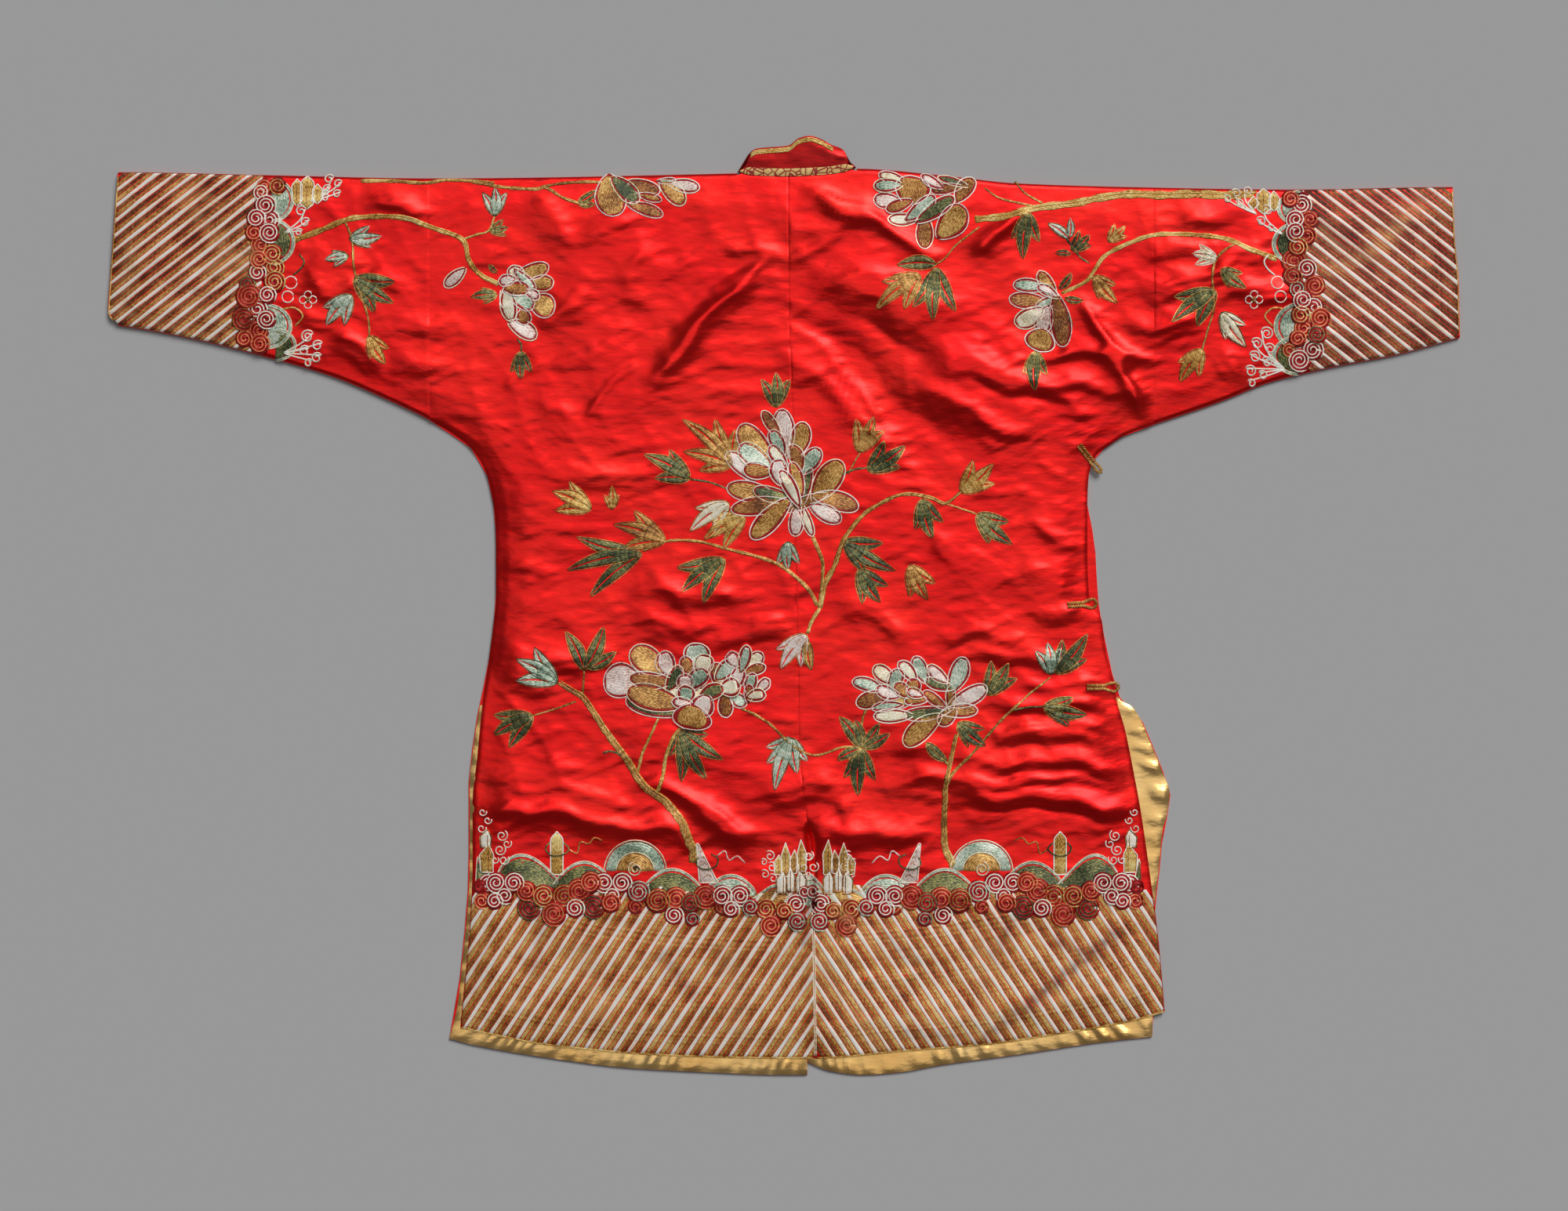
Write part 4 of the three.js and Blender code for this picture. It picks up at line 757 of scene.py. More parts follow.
def couching(name, dark, middle, light, metal):
    """Rows of laid thread 1.1 mm apart: the UV map runs along the rows and across them, in metres.
    Flecks of dark and light thread change along a row, the light ones partly paler thread and partly
    painted glints of the metal; wear shows its gold and soil darkens it."""
    material, nodes, links, shader = new_material(name)
    coordinates = nodes.new("ShaderNodeTexCoord")
    place, rows = coordinates.outputs["Object"], coordinates.outputs["UV"]
    fleck = noise(nodes, links, rows, 700, 3, (0.5, 1.2, 1))
    age = noise(nodes, links, place, 45, 3)
    both = nodes.new("ShaderNodeMix")
    both.inputs["Factor"].default_value = 0.42
    links.new(fleck, both.inputs["A"])
    links.new(age, both.inputs["B"])
    # Light flecks: partly paler thread, partly painted glints of the metal thread.
    dye = ramp(nodes, links, both.outputs["Result"],
               [(0.37, *dark), (0.48, *middle), (0.62, *light)])
    for mark, colour in (("wear", (0.86, 0.56, 0.22, 1)), ("soil", (0.10, 0.045, 0.025, 1))):
        share = nodes.new("ShaderNodeAttribute")
        share.attribute_name = mark
        marked = nodes.new("ShaderNodeMix")
        marked.data_type = "RGBA"
        links.new(share.outputs["Fac"], marked.inputs["Factor"])
        links.new(dye, marked.inputs["A"])
        marked.inputs["B"].default_value = colour
        dye = marked.outputs["Result"]
    links.new(dye, shader.inputs["Base Color"])
    shader.inputs["Metallic"].default_value = metal
    shader.inputs["Roughness"].default_value = 0.41
    ridge = nodes.new("ShaderNodeTexWave")
    ridge.bands_direction = "Y"
    ridge.inputs["Scale"].default_value = 2 * math.pi / 20 / 0.0011
    ridge.inputs["Distortion"].default_value = 0.6
    links.new(rows, ridge.inputs["Vector"])
    normal = bump(nodes, links, ridge.outputs["Fac"], 0.00020)
    links.new(bump(nodes, links, fleck, 0.00020, normal), shader.inputs["Normal"])
    return material


COUCHING = {thread: couching(thread + "_couching", *look) for thread, look in THREADS.items()}
THREAD_NAMES = list(THREADS)

# old stains: from x, height to x, height, half width, share
STAINS = [
    (189, -430, 240, -392, 5, 0.6), (240, -392, 325, -322, 6, 0.8), (268, -330, 305, -345, 5, 0.6),
    (205, -345, 225, -310, 6, 0.45), (95, -320, 130, -350, 5, 0.4), (-120, -345, -90, -380, 7, 0.4),
    (-245, -360, -235, -300, 8, 0.3), (120, -420, 180, -425, 6, 0.4), (20, -330, 30, -270, 5, 0.6),
    (-620, 330, -560, 300, 9, 0.25), (560, 400, 640, 400, 8, 0.3),
]
# worn places, in the same way
WORN = [
    (-590, 400, -530, 330, 7, 0.4), (-565, 330, -525, 345, 7, 0.45), (-640, 350, -652, 290, 6, 0.4),
    (-580, 410, -560, 395, 6, 0.4), (-640, 285, -560, 262, 4, 0.3), (580, 349, 622, 392, 7, 0.5),
    (535, 330, 575, 345, 7, 0.35), (610, 300, 640, 275, 5, 0.25), (528, 370, 545, 350, 5, 0.3),
    (52, -300, 95, -340, 6, 0.3), (190, -330, 200, -400, 9, 0.25), (-200, -330, -180, -400, 10, 0.3),
    (-60, -340, -40, -420, 10, 0.3), (30, -350, 100, -440, 8, 0.3),
]


def marked_share(rows, x, y):
    """Share of soil or wear: for each mark a bell over the distance from its middle line, broken
    up by waves."""
    total = np.zeros_like(x)
    for x0, y0, x1, y1, width, share in rows:
        t = (x - x0) * (x1 - x0) + (y - y0) * (y1 - y0)
        t = np.clip(t / ((x1 - x0) ** 2 + (y1 - y0) ** 2), 0, 1)
        away = np.hypot(x - mix(x0, x1, t), y - mix(y0, y1, t)) / width
        patchy = 0.7 + 0.3 * np.sin(x / 3.1 + y / 5.3) * np.sin(y / 2.7 - x / 4.1)
        total = np.maximum(total, share * patchy * np.exp(-away * away))
    return total


class Motifs:
    """Raised pieces for one panel, gathered as flat places, heights above the cloth, faces, thread
    numbers and UV, and made one mesh at the end."""

    def __init__(self):
        self.places, self.heights, self.faces, self.threads, self.uv, self.count = [], [], [], [], [], 0

    def lay(self, edge_a, edge_b, rise, thread, across, ends=1.2, power=4, one_side=False):
        """Surface between two lines (stations, xy): across it the height is rise times the root
        of 1 - q**power, and it comes down over a short run at both ends. With one_side it keeps
        its height at edge_a. Its underside is closed."""
        stations = len(edge_a)
        q = np.sin(np.linspace(-1, 1, across) * math.pi / 2)
        share = (q[None, :, None] + 1) / 2
        places = edge_a[:, None] * (1 - share) + edge_b[:, None] * share
        middle = (edge_a + edge_b) / 2
        run = run_along(middle)
        taper = np.minimum(1, np.minimum(run, run[-1] - run) / ends + 0.02) ** 0.5
        fall = np.maximum(q, 0) if one_side else np.abs(q)
        height = rise * np.sqrt(1 - fall[None] ** power + 0 * run[:, None]) * taper[:, None] - 0.25
        width = np.hypot(*(edge_b - edge_a).T)
        u, v = run[:, None] + 0 * q[None], (q[None] / 2) * width[:, None]
        number = np.arange(stations * across).reshape(stations, across) + self.count
        ring = np.concatenate([number, number[:, :1]], 1)
        quads = np.stack([ring[:-1, :-1], ring[:-1, 1:], ring[1:, 1:], ring[1:, :-1]], -1)
        faces = quads.reshape(-1, 4).tolist()
        faces += [number[0, ::-1].tolist(), number[-1].tolist()]
        turn = np.cross(middle[-1] - middle[0], edge_b[stations // 2] - edge_a[stations // 2])
        if turn > 0:
            faces = [face[::-1] for face in faces]
        self.places.append(places.reshape(-1, 2))
        self.heights.append(height.ravel())
        self.uv.append(np.stack([u, v], -1).reshape(-1, 2))
        self.faces += faces
        self.threads += [THREAD_NAMES.index(thread)] * len(faces)
        self.count += stations * across

    def line(self, points, width, rise, thread, across=4, step=2.0):
        """Cord along a smooth line through points. Width may be a list, spread along it."""
        path = smooth(points, step)
        half = np.interp(np.linspace(0, 1, len(path)), np.linspace(0, 1, np.size(width)),
                         np.ravel(width)) / 2
        self.lay(*beside(path, half), rise, thread, across)

    def finish(self, name, slot):
        """One object with every thread's material, standing on the cloth."""
        places, heights = np.concatenate(self.places), np.concatenate(self.heights)
        z = back_top(places[:, 0], places[:, 1]) + heights
        mesh = bpy.data.meshes.new(name)
        mesh.from_pydata((np.column_stack([places, z]) * MM).tolist(), [], self.faces)
        mesh.shade_smooth()
        used = sorted(set(self.threads))
        for number in used:
            mesh.materials.append(COUCHING[THREAD_NAMES[number]])
        index = np.searchsorted(used, self.threads).astype(np.int32)
        mesh.polygons.foreach_set("material_index", index)
        lay_rows(mesh, np.concatenate(self.uv))
        for mark, rows in (("wear", WORN), ("soil", STAINS)):
            shares = mesh.attributes.new(mark, "FLOAT", "POINT")
            shares.data.foreach_set("value", marked_share(rows, *places.T))
        piece = in_scene(name, mesh)
        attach(piece, "root")
        return piece


def smooth(points, step):
    """Points about a step apart on the Catmull-Rom curve through the given ones."""
    p = np.array(points, float)
    p = np.concatenate([2 * p[:1] - p[1:2], p, 2 * p[-1:] - p[-2:-1]])
    parts = []
    for a, b, c, d in zip(p[:-3], p[1:-2], p[2:-1], p[3:]):
        count = max(2, int(math.ceil(math.dist(b, c) / step)))
        t = np.linspace(0, 1, count, endpoint=False)[:, None]
        parts.append(0.5 * (2 * b + (c - a) * t + (2 * a - 5 * b + 4 * c - d) * t * t
                            + (3 * b - a - 3 * c + d) * t ** 3))
    return np.concatenate(parts + [p[-2:-1]])


def beside(path, half):
    """The two edges of a cord along a path, half its width to each side."""
    ahead = np.gradient(path, axis=0)
    ahead /= np.maximum(1e-9, np.hypot(*ahead.T))[:, None]
    normal = np.stack([-ahead[:, 1], ahead[:, 0]], -1) * np.reshape(half, (-1, 1))
    return path + normal, path - normal


# Wide borders of the hem and the cuffs: slanting stripes of white cord, gold and russet thread,
# with hills, rocks and rows of curled clouds above them.
HEM_STRIPES = (("white", 4.1, 0.9), ("gold", 4.1, 0.6), ("russet", 4.1, 0.6))
LEFT_CUFF_STRIPES = (("white", 4.1, 0.9), ("bronze", 3.9, 0.6), ("rust", 4.3, 0.6))
RIGHT_CUFF_STRIPES = (("white", 4.1, 0.9), ("rust", 4.1, 0.6), ("rust", 4.1, 0.6))
STRIPE_SET = 12.3
HEM_SLANT, CUFF_SLANT = math.radians(57), math.radians(38)


def clipped(inside, origin, direction, wobble):
    """The stretch of a slanting line that lies inside the border, as evenly spaced places, or
    None. The line wavers sideways by slow sines, shifted by wobble."""
    side = np.array([-direction[1], direction[0]])

    def line(t):
        waver = 0.35 * np.sin(t / 23 + wobble) + 0.25 * np.sin(t / 9 + 2.3 * wobble)
        return origin + t[:, None] * direction + waver[:, None] * side

    t = np.arange(0, 300, 0.5)
    t = t[inside(*line(t).T)]
    if len(t) < 8:
        return None
    return line(np.concatenate([t[:1], np.linspace(t[0] + 0.8, t[-1] - 0.8, 36), t[-1:]]))


def stripes(motifs, inside, threads, origin, direction, step, count):
    """Bands side by side, each between two slanting lines, in the border's order of threads. The
    lines' starts are shares of a step apart, as wide as the band is in its set."""
    place = np.array(origin, float)
    k = 0
    for _ in range(count):
        for thread, width, rise in threads:
            after = place + np.array(step) * (width / STRIPE_SET)
            a = clipped(inside, place, direction, k * 1.7)
            k += 1
            b = clipped(inside, after, direction, k * 1.7)
            place = after
            if a is not None and b is not None:
                motifs.lay(a, b, rise, thread, 5, 0.6)


def hem_top(x):
    """Upper edge of the stripes, hidden under the clouds."""
    return -278 + 3 * np.sin(x / 31) + 2 * np.sin(x / 11 + 1)


def in_hem(side):
    """Test for places in the stripes of the hem's left or right half."""
    edge = BACK_LEFT_SIDE if side < 0 else BACK_RIGHT_SIDE
    return lambda x, y: (
        (y > read(BACK_HEM, x) + 0.5) & (y < hem_top(x))
        & (side * (read(edge, y) - x) > 0.5) & (side * (x - read(CENTRE_SEAM, y)) > 0.4))


def in_cuff(side):
    """Test for places in the stripes of the left or right cuff."""
    edge, inner = (CUFF_LEFT, -512) if side < 0 else (CUFF_RIGHT, 508)

    def inside(x, y):
        low, high = read(SLEEVE_LOWER, x) + 0.6, read(SHOULDER, x) - 0.6
        start = inner - side * (4 * np.sin(y / 13) + 3 * np.sin(y / 7 + 1))
        return ((y > low) & (y < high) & (side * (x - start) > 0)
                & (side * (read(edge, (y - low) / (high - low)) - x) > 0.8))

    return inside


hem_left, hem_right, cuff_left, cuff_right = Motifs(), Motifs(), Motifs(), Motifs()
for motifs, side, start, count in ((hem_left, -1, -460, 34), (hem_right, 1, 500, 33)):
    upwards = np.array([-side * math.cos(HEM_SLANT), math.sin(HEM_SLANT)])
    stripes(motifs, in_hem(side), HEM_STRIPES, (start, -455), upwards, (-side * 14.7, 0), count)
for motifs, side, threads in ((cuff_left, -1, LEFT_CUFF_STRIPES), (cuff_right, 1, RIGHT_CUFF_STRIPES)):
    upwards = np.array([-side * math.cos(CUFF_SLANT), math.sin(CUFF_SLANT)])
    stripes(motifs, in_cuff(side), threads, (side * 670, 106), upwards, (0, 14.4), 24)
for motifs, sign, cuff in ((cuff_left, 1, CUFF_LEFT), (cuff_right, -1, CUFF_RIGHT)):
    g = np.linspace(0.03, 0.97, 30)
    x = read(cuff, g)
    motifs.line(np.column_stack([x + 0.9 * sign, mix(read(SLEEVE_LOWER, x), read(SHOULDER, x), g)]),
                1.4, 1.3, "gold", 4, 4)


def spiral(motifs, x, y, radius, start, hand, thread, width=1.7, rise=2.4):
    """Curled cord: its distance from the middle falls evenly from the radius as it turns, about
    two millimetres clear of itself."""
    turns = max(1.15, radius / 3.9 - 0.3)
    a = np.linspace(0, turns * 2 * math.pi, max(10, int(turns * 14)))
    r = radius - width / 2 - (radius - width) * 0.93 * a / a[-1]
    angle = math.radians(start) + hand * a
    path = np.stack([x + r * np.cos(angle), y + r * np.sin(angle)], -1)
    motifs.lay(*beside(path, width / 2), rise, thread, 4, 1.0)


def curl_cloud(motifs, x, y, radius, kind, level):
    """Curled cloud: a spiral of cord on a padded red disc. A ruyi is two white ones side by side
    over a smaller one."""
    if kind == "ruyi":
        for dx, dy, share in ((0, -1.35, 0.85), (-0.92, 0, 1), (0.92, 0, 1)):
            curl_cloud(motifs, x + dx * radius, y + dy * radius, radius * share, "white", level + 0.5)
        return
    radius = radius * 1.2
    disc(motifs, x, y, radius * 0.98, "red", level)
    spiral(motifs, x, y, radius, -50, 1 if (x + y) % 2 < 1 else -1, kind, 1.8, level + 0.6)


def disc(motifs, x, y, radius, thread, rise, inner=0.0, sweep=360.0):
    """Ring or disc of thread between two circles, or its upper half with a sweep of 180."""
    a = np.radians(np.linspace(0, sweep, max(9, int(radius * sweep / 360 * 2.2))))
    unit = np.stack([np.cos(a), np.sin(a)], -1)
    centre = np.array([x, y])
    motifs.lay(centre + unit * max(inner, 0.05), centre + unit * radius, rise, thread,
               3 + int((radius - inner) / 4), 0.01 if sweep == 360 else 1.2, 6, inner == 0)


def hill(motifs, x0, x1, base, top, peak, thread):
    """Mound: thread between its base and an arc that rises as a half sine skewed to its peak,
    with a paler band and a pale cord along the arc."""
    s = np.linspace(0, 1, 26)
    skew = s ** (math.log(0.5) / math.log((peak - x0) / (x1 - x0)))
    arc = np.stack([mix(x0, x1, s), mix(base, top, np.sin(math.pi * skew) ** 0.8)], -1)
    low = np.stack([mix(x0 + 1, x1 - 1, s), np.full(26, base - 3.0)], -1)
    band = arc + (low - arc) * np.minimum(0.28, 3.4 / np.maximum(1, np.hypot(*(low - arc).T)))[:, None]
    motifs.lay(low, band, 0.7, thread, 7, 0.8)
    motifs.lay(band, arc, 0.8, "jade", 4, 0.8)
    motifs.line(arc[::2], 1.2, 1.1, "cream", 4, 2.5)


# clouds of the left half: x, height, radius, thread; ruyi ones are three curls together
CLOUDS = [
    (-297, -290, 7.5, "coral"), (-298, -276, 7, "red"), (-284, -290, 8, "white"), (-291, -273, 9, "white"),
    (-274, -272, 9.5, "ruyi"), (-253, -280, 9, "coral"), (-250, -297, 11, "moss"),
    (-236, -285, 10, "gold"), (-226, -303, 11, "coral"), (-216, -286, 11, "gold"),
    (-201, -280, 11, "coral"), (-190, -272, 10, "coral"), (-187, -296, 11, "moss"),
    (-205, -297, 9, "white"), (-170, -292, 9, "coral"), (-168, -272, 9.5, "ruyi"),
    (-143, -281, 10.5, "jade"), (-124, -290, 11, "gold"), (-146, -296, 7, "coral"),
    (-106, -288, 10.5, "coral"), (-92, -292, 9.5, "moss"), (-108, -304, 9, "white"),
    (-90, -308, 7, "jade"), (-77, -286, 11, "coral"), (-60, -296, 8, "russet"), (-52, -285, 9.5, "ruyi"),
    (-33, -296, 8, "jade"), (-18, -298, 10, "gold"), (-13, -314, 10, "coral"), (0, -300, 8, "gold"),
    (12, -293, 10, "white"), (13, -310, 9, "jade"), (20, -281, 6, "white"),
]
# hills: left end, right end, base, top, peak, thread
HILLS = [
    (-303, -282, -276, -248, -302, "moss"), (-285, -219, -275, -244, -258, "moss"),
    (-228, -165, -276, -251, -196, "moss"), (-142, -77, -283, -258, -110, "moss"),
    (-82, -26, -283, -264, -52, "jade"), (-32, 6, -288, -274, -8, "bronze"),
    (-4, 26, -294, -265, 22, "jade"),
]
HEM_MIDDLE, ROUND_HILL_X = 24, -146
# curls of spray over the hem: x, height, radius, first direction
SPRAY = [
    (-296, -203, 4, 20), (-291, -211, 4, 20), (-297, -219, 4.5, 20), (-277, -226, 5.5, 60),
    (-272, -234, 4.5, 40), (-279, -240, 5.5, 40), (-275, -250, 5, 40), (-284, -250, 4, 40),
    (-14, -246, 5, 130), (-20, -252, 3.5, 130), (-12, -257, 5, 130), (-19, -264, 4.5, 130),
    (-11, -268, 4.5, 130), (24, -246, 5, 60), (29, -257, 5, 60), (22, -266, 4.5, 60),
]


def patch(motifs, left, right, thread, rise, rim, width):
    """Laid thread between a left and a right outline, both from foot to top with straight sides,
    and a cord of the rim's thread round it."""
    def even(points):
        points = np.array(points, float)
        run = run_along(points)
        at = np.linspace(0, run[-1], 12)
        return np.stack([np.interp(at, run, points[:, 0]), np.interp(at, run, points[:, 1])], -1)

    a, b = even(left), even(right)
    motifs.lay(a, b, rise, thread, 5, 0.6, 8)
    motifs.line(np.concatenate([a, b[::-1], a[:1]]), width, rise + 0.4, rim, 4, 2.5)


def mirror_x(x):
    """The same place on the hem's right half."""
    return 2 * HEM_MIDDLE - x


for motifs, across in ((hem_left, lambda x: x), (hem_right, mirror_x)):
    sign = 1 if motifs is hem_left else -1
    edge = np.linspace(BACK_HEM[0][0], 30, 60) if sign > 0 else np.linspace(32, BACK_HEM[-1][0], 60)
    motifs.line(np.column_stack([edge, read(BACK_HEM, edge) + 0.3]), 1.9, 1.2, "gold", 4, 4)
    y = np.linspace(-443, -300, 30)
    motifs.line(np.column_stack([read(CENTRE_SEAM, y) - 0.8 * sign, y]), 1.5, 1.3, "cream", 4, 4)

    def outline(points, across=across):
        return [(across(x), y) for x, y in points]

    for x0, x1, base, top, peak, thread in HILLS:
        x0, x1 = sorted((across(x0), across(x1)))
        hill(motifs, x0, x1, base, top, min(max(across(peak), x0 + 2), x1 - 2), thread)
    # round hill: half a disc in half a ring, with pale cords along both and a curl in the middle
    for radius, thread, rise, inner in ((18.5, "bronze", 1.3, 0), (29.5, "jade", 1.3, 18.5),
                                        (31.5, "cream", 1.8, 29.8), (19.5, "cream", 1.9, 17.8)):
        disc(motifs, across(ROUND_HILL_X), -261, radius, thread, rise, inner, 180)
    spiral(motifs, across(ROUND_HILL_X), -259, 8.5, 90, sign, "cream")

    # jewelled tower: a pointed block in a ring, with a ribbon
    patch(motifs, outline([(-229, -264), (-229, -229), (-223, -222)]),
          outline([(-217, -264), (-217, -229), (-223, -222)]), "gold", 1.5, "white", 1.7)
    motifs.line(outline([(-229, -232), (-234, -238), (-229, -245), (-218, -245), (-211, -239), (-217, -232)]),
                1.9, 2.6, "moss")
    motifs.line(outline([(-212, -239), (-203, -243), (-200, -232), (-192, -234), (-186, -228), (-178, -231)]),
                1.7, 1.4, "bronze")
    # leaning spire with a ring and a ribbon, and its leaning marks
    patch(motifs, outline([(-83, -272), (-86, -234)]), outline([(-65, -272), (-84, -234)]),
          "mauve", 1.5, "white", 1.4)
    for k in range(5):
        y = -268 + 6 * k
        half = 5 - 0.9 * k
        motifs.line(outline([(-75 - 1.6 * k - half, y), (-75 - 1.6 * k, y + 4), (-75 - 1.6 * k + half, y)]),
                    1.0, 2.0, "russet")
    motifs.line(outline([(-84, -246), (-86, -254), (-78, -259), (-67, -256), (-65, -248), (-72, -244)]),
                1.8, 2.6, "moss")
    motifs.line(outline([(-66, -246), (-58, -241), (-54, -250), (-46, -246), (-38, -253)]), 1.7, 1.4, "mauve")
    # rocks at the middle and at the corner: gold blocks with pale cords, on white ones
    for left, width, low, high, lean, thread in (
        (-10, 8, -264, -245, 1, "gold"), (-3, 9, -266, -233, 0, "gold"), (6, 7, -263, -240, 1, "bronze"),
        (13, 9, -264, -230, -1, "gold"), (-8, 11, -283, -260, 2, "white"), (2, 9, -281, -255, 0, "white"),
        (11, 11, -283, -259, -1, "white"),
        (-299, 14, -262, -234, 2, "gold"), (-299, 12, -238, -220, 2, "white"),
    ):
        left = left - (12 if sign < 0 and left > -20 else 0)
        middle = left + width / 2 + lean
        patch(motifs, outline([(left + 1, low), (left, mix(low, high, 0.6)), (middle, high)]),
              outline([(left + width - 1, low), (left + width, mix(low, high, 0.6)), (middle, high)]),
              thread, 1.5, "russet" if thread == "white" else "white", 1.3)
        motifs.line(outline([(middle, low), (middle, high - 4)]), 1.1, 2.2, "russet")
    for x, y, radius, start in SPRAY:
        start = start if sign > 0 else 180 - start
        spiral(motifs, across(x), y, radius * 1.25, start, -sign, "white", 1.6, 1.6)
    for k, (x, y, radius, kind) in enumerate(CLOUDS):
        curl_cloud(motifs, across(x), y, radius, kind, 1.2 + 0.65 * (k % 3))

# clouds of the left cuff: x, height, radius, thread
CUFF_CLOUDS_LEFT = [
    (-505, 406, 8, "white"), (-501, 393, 10, "white"), (-510, 380, 9, "white"), (-497, 379, 9.5, "white"),
    (-512, 366, 8.5, "coral"), (-497, 366, 9.5, "white"), (-505, 354, 10, "coral"), (-494, 345, 9.5, "gold"),
    (-507, 340, 9, "coral"), (-492, 332, 9, "gold"), (-509, 327, 8.5, "white"), (-492, 318, 10, "gold"),
    (-519, 315, 8, "moss"), (-517, 303, 12, "coral"), (-499, 305, 8.5, "white"), (-509, 291, 9.5, "white"),
    (-522, 281, 11, "russet"), (-500, 281, 9, "white"), (-507, 270, 9.5, "coral"), (-507, 257, 9.5, "coral"),
    (-489, 412, 8, "gold"), (-502, 411, 8, "coral"), (-522, 262, 8, "coral"),
]
CUFF_CLOUDS_RIGHT = [
    (512, 394, 9.5, "white"), (506, 379, 9.5, "white"), (506, 367, 9.5, "white"), (520, 379, 9, "coral"),
    (517, 363, 9, "coral"), (508, 352, 9, "gold"), (504, 338, 11, "coral"), (517, 331, 9, "white"),
    (503, 323, 9, "russet"), (525, 314, 10, "coral"), (508, 311, 8, "jade"), (513, 300, 9.5, "white"),
    (524, 293, 9.5, "white"), (530, 282, 10, "coral"), (511, 285, 9, "gold"), (514, 272, 9.5, "coral"),
    (527, 266, 9, "moss"), (508, 262, 8, "coral"), (523, 251, 10, "white"), (510, 241, 10.5, "white"),
    (501, 399, 8, "coral"), (514, 401, 6, "red"), (500, 251, 7, "gold"),
]
# crescents beside the clouds: chord's x, lower and upper ends, furthest x, thread
CUFF_CRESCENTS_LEFT = [
    (-504, 376, 420, -481, "jade"), (-504, 334, 380, -480, "moss"),
    (-508, 252, 296, -483, "jade"), (-500, 240, 272, -479, "moss"),
]
CUFF_CRESCENTS_RIGHT = [
    (510, 372, 408, 484, "jade"), (507, 333, 377, 479, "moss"),
    (510, 250, 298, 481, "jade"), (506, 226, 265, 479, "moss"),
]
# waves beyond them: root x, root height, then x, height, radius of each curl
CUFF_WAVES_LEFT = [
    (-466, 396, [(-447, 419, 5.5), (-438, 414, 5), (-449, 409, 5), (-439, 404, 5), (-450, 400, 4.5)]),
    (-490, 366, [(-474, 387, 6), (-470, 376, 5.5), (-476, 366, 4.5)]),
    (-492, 248, [(-468, 264, 7), (-458, 255, 6), (-471, 250, 6), (-459, 243, 6), (-467, 238, 5)]),
]
CUFF_WAVES_RIGHT = [
    (464, 384, [(444, 405, 5.5), (435, 399, 5), (447, 395, 5), (456, 407, 5)]),
    (490, 364, [(474, 388, 6), (468, 377, 5.5), (478, 370, 4.5)]),
    (492, 232, [(474, 267, 7), (464, 257, 6.5), (477, 252, 6), (462, 244, 6.5), (474, 239, 6),
                (458, 230, 6.5), (470, 226, 5.5), (459, 218, 5)]),
]


def wave(motifs, x, y, radius, root, hand):
    """Curl of spray: a cord that rises from the root, bows outwards and rolls up at its end."""
    spiral(motifs, x, y, radius * 1.1, 90 - 60 * hand, hand, "white", 1.9, 1.7)
    start = math.radians(90 - 60 * hand)
    lip = (x + (radius - 0.7) * math.cos(start), y + (radius - 0.7) * math.sin(start))
    bow = ((lip[0] + root[0]) / 2 + hand * 0.18 * (lip[1] - root[1]), (lip[1] + root[1]) / 2)
    motifs.line([root, bow, lip], 1.9, 1.5, "white", 4, 2)


for motifs, sign, clouds, crescents, waves in (
    (cuff_left, 1, CUFF_CLOUDS_LEFT, CUFF_CRESCENTS_LEFT, CUFF_WAVES_LEFT),
    (cuff_right, -1, CUFF_CLOUDS_RIGHT, CUFF_CRESCENTS_RIGHT, CUFF_WAVES_RIGHT),
):
    # gold rocks with pale cords
    for x, low, high, width in ((-458, 394, 414, 10), (-478, 392, 419, 10), (-468, 389, 422, 13)):
        if sign < 0:
            x, low, high = -x + 3, low - 5, high - 12
        patch(motifs, [(x, low), (x - width / 2, low + 5), (x - width / 2, high - 6), (x, high)],
              [(x, low), (x + width / 2, low + 5), (x + width / 2, high - 6), (x, high)],
              "gold", 1.5, "white", 1.5)
        motifs.line([(x, low), (x, high - 4)], 1.1, 2.2, "russet")
    for chord, low, high, far, thread in crescents:
        a = np.linspace(-math.pi / 2, math.pi / 2, 22)
        middle, half = (low + high) / 2, (high - low) / 2
        reach = far - chord
        arc, band, line = (
            np.stack([chord + reach * wide * np.cos(a), middle + half * tall * np.sin(a)], -1)
            for wide, tall in ((1, 1), (0.84, 0.84), (0, 0.84)))
        motifs.lay(line[::sign], band[::sign], 0.9, thread, 6, 0.8, 8)
        motifs.lay(band[::sign], arc[::sign], 1.0, "jade", 4, 0.8, 8)
        motifs.line(arc[::2], 1.3, 1.5, "cream", 4, 2.5)
    for root_x, root_y, curls in waves:
        for x, y, radius in curls:
            wave(motifs, x, y, radius, (root_x, root_y), sign)
    # ribbons, rings and a small jewel
    for x, y, radius in ((484, 317, 7), (487, 303, 6.5)):
        disc(motifs, -x * sign, y, radius, "white", 1.7, radius - 1.7)
    motifs.line([(-476 * sign, 345), (-471 * sign, 338), (-474 * sign, 331), (-482 * sign, 324)], 2.2, 1.6,
                "moss" if sign > 0 else "white")
    motifs.line([(-492 * sign, 291), (-480 * sign, 292), (-472 * sign, 284), (-480 * sign, 274)], 2.2, 1.6,
                "gold")
    jewel = -467 if sign > 0 else 461
    for dx, dy in ((0, 4.8), (4.8, 0), (0, -4.8), (-4.8, 0)):
        disc(motifs, jewel + dx, 300 + dy, 4.6, "white", 1.8, 3)
    disc(motifs, jewel, 300, 3.6, "russet", 2.2)
    for k, (x, y, radius, kind) in enumerate(clouds):
        curl_cloud(motifs, x - (8 if sign > 0 else 4), y, radius, kind, 1.2 + 0.65 * (k % 3))

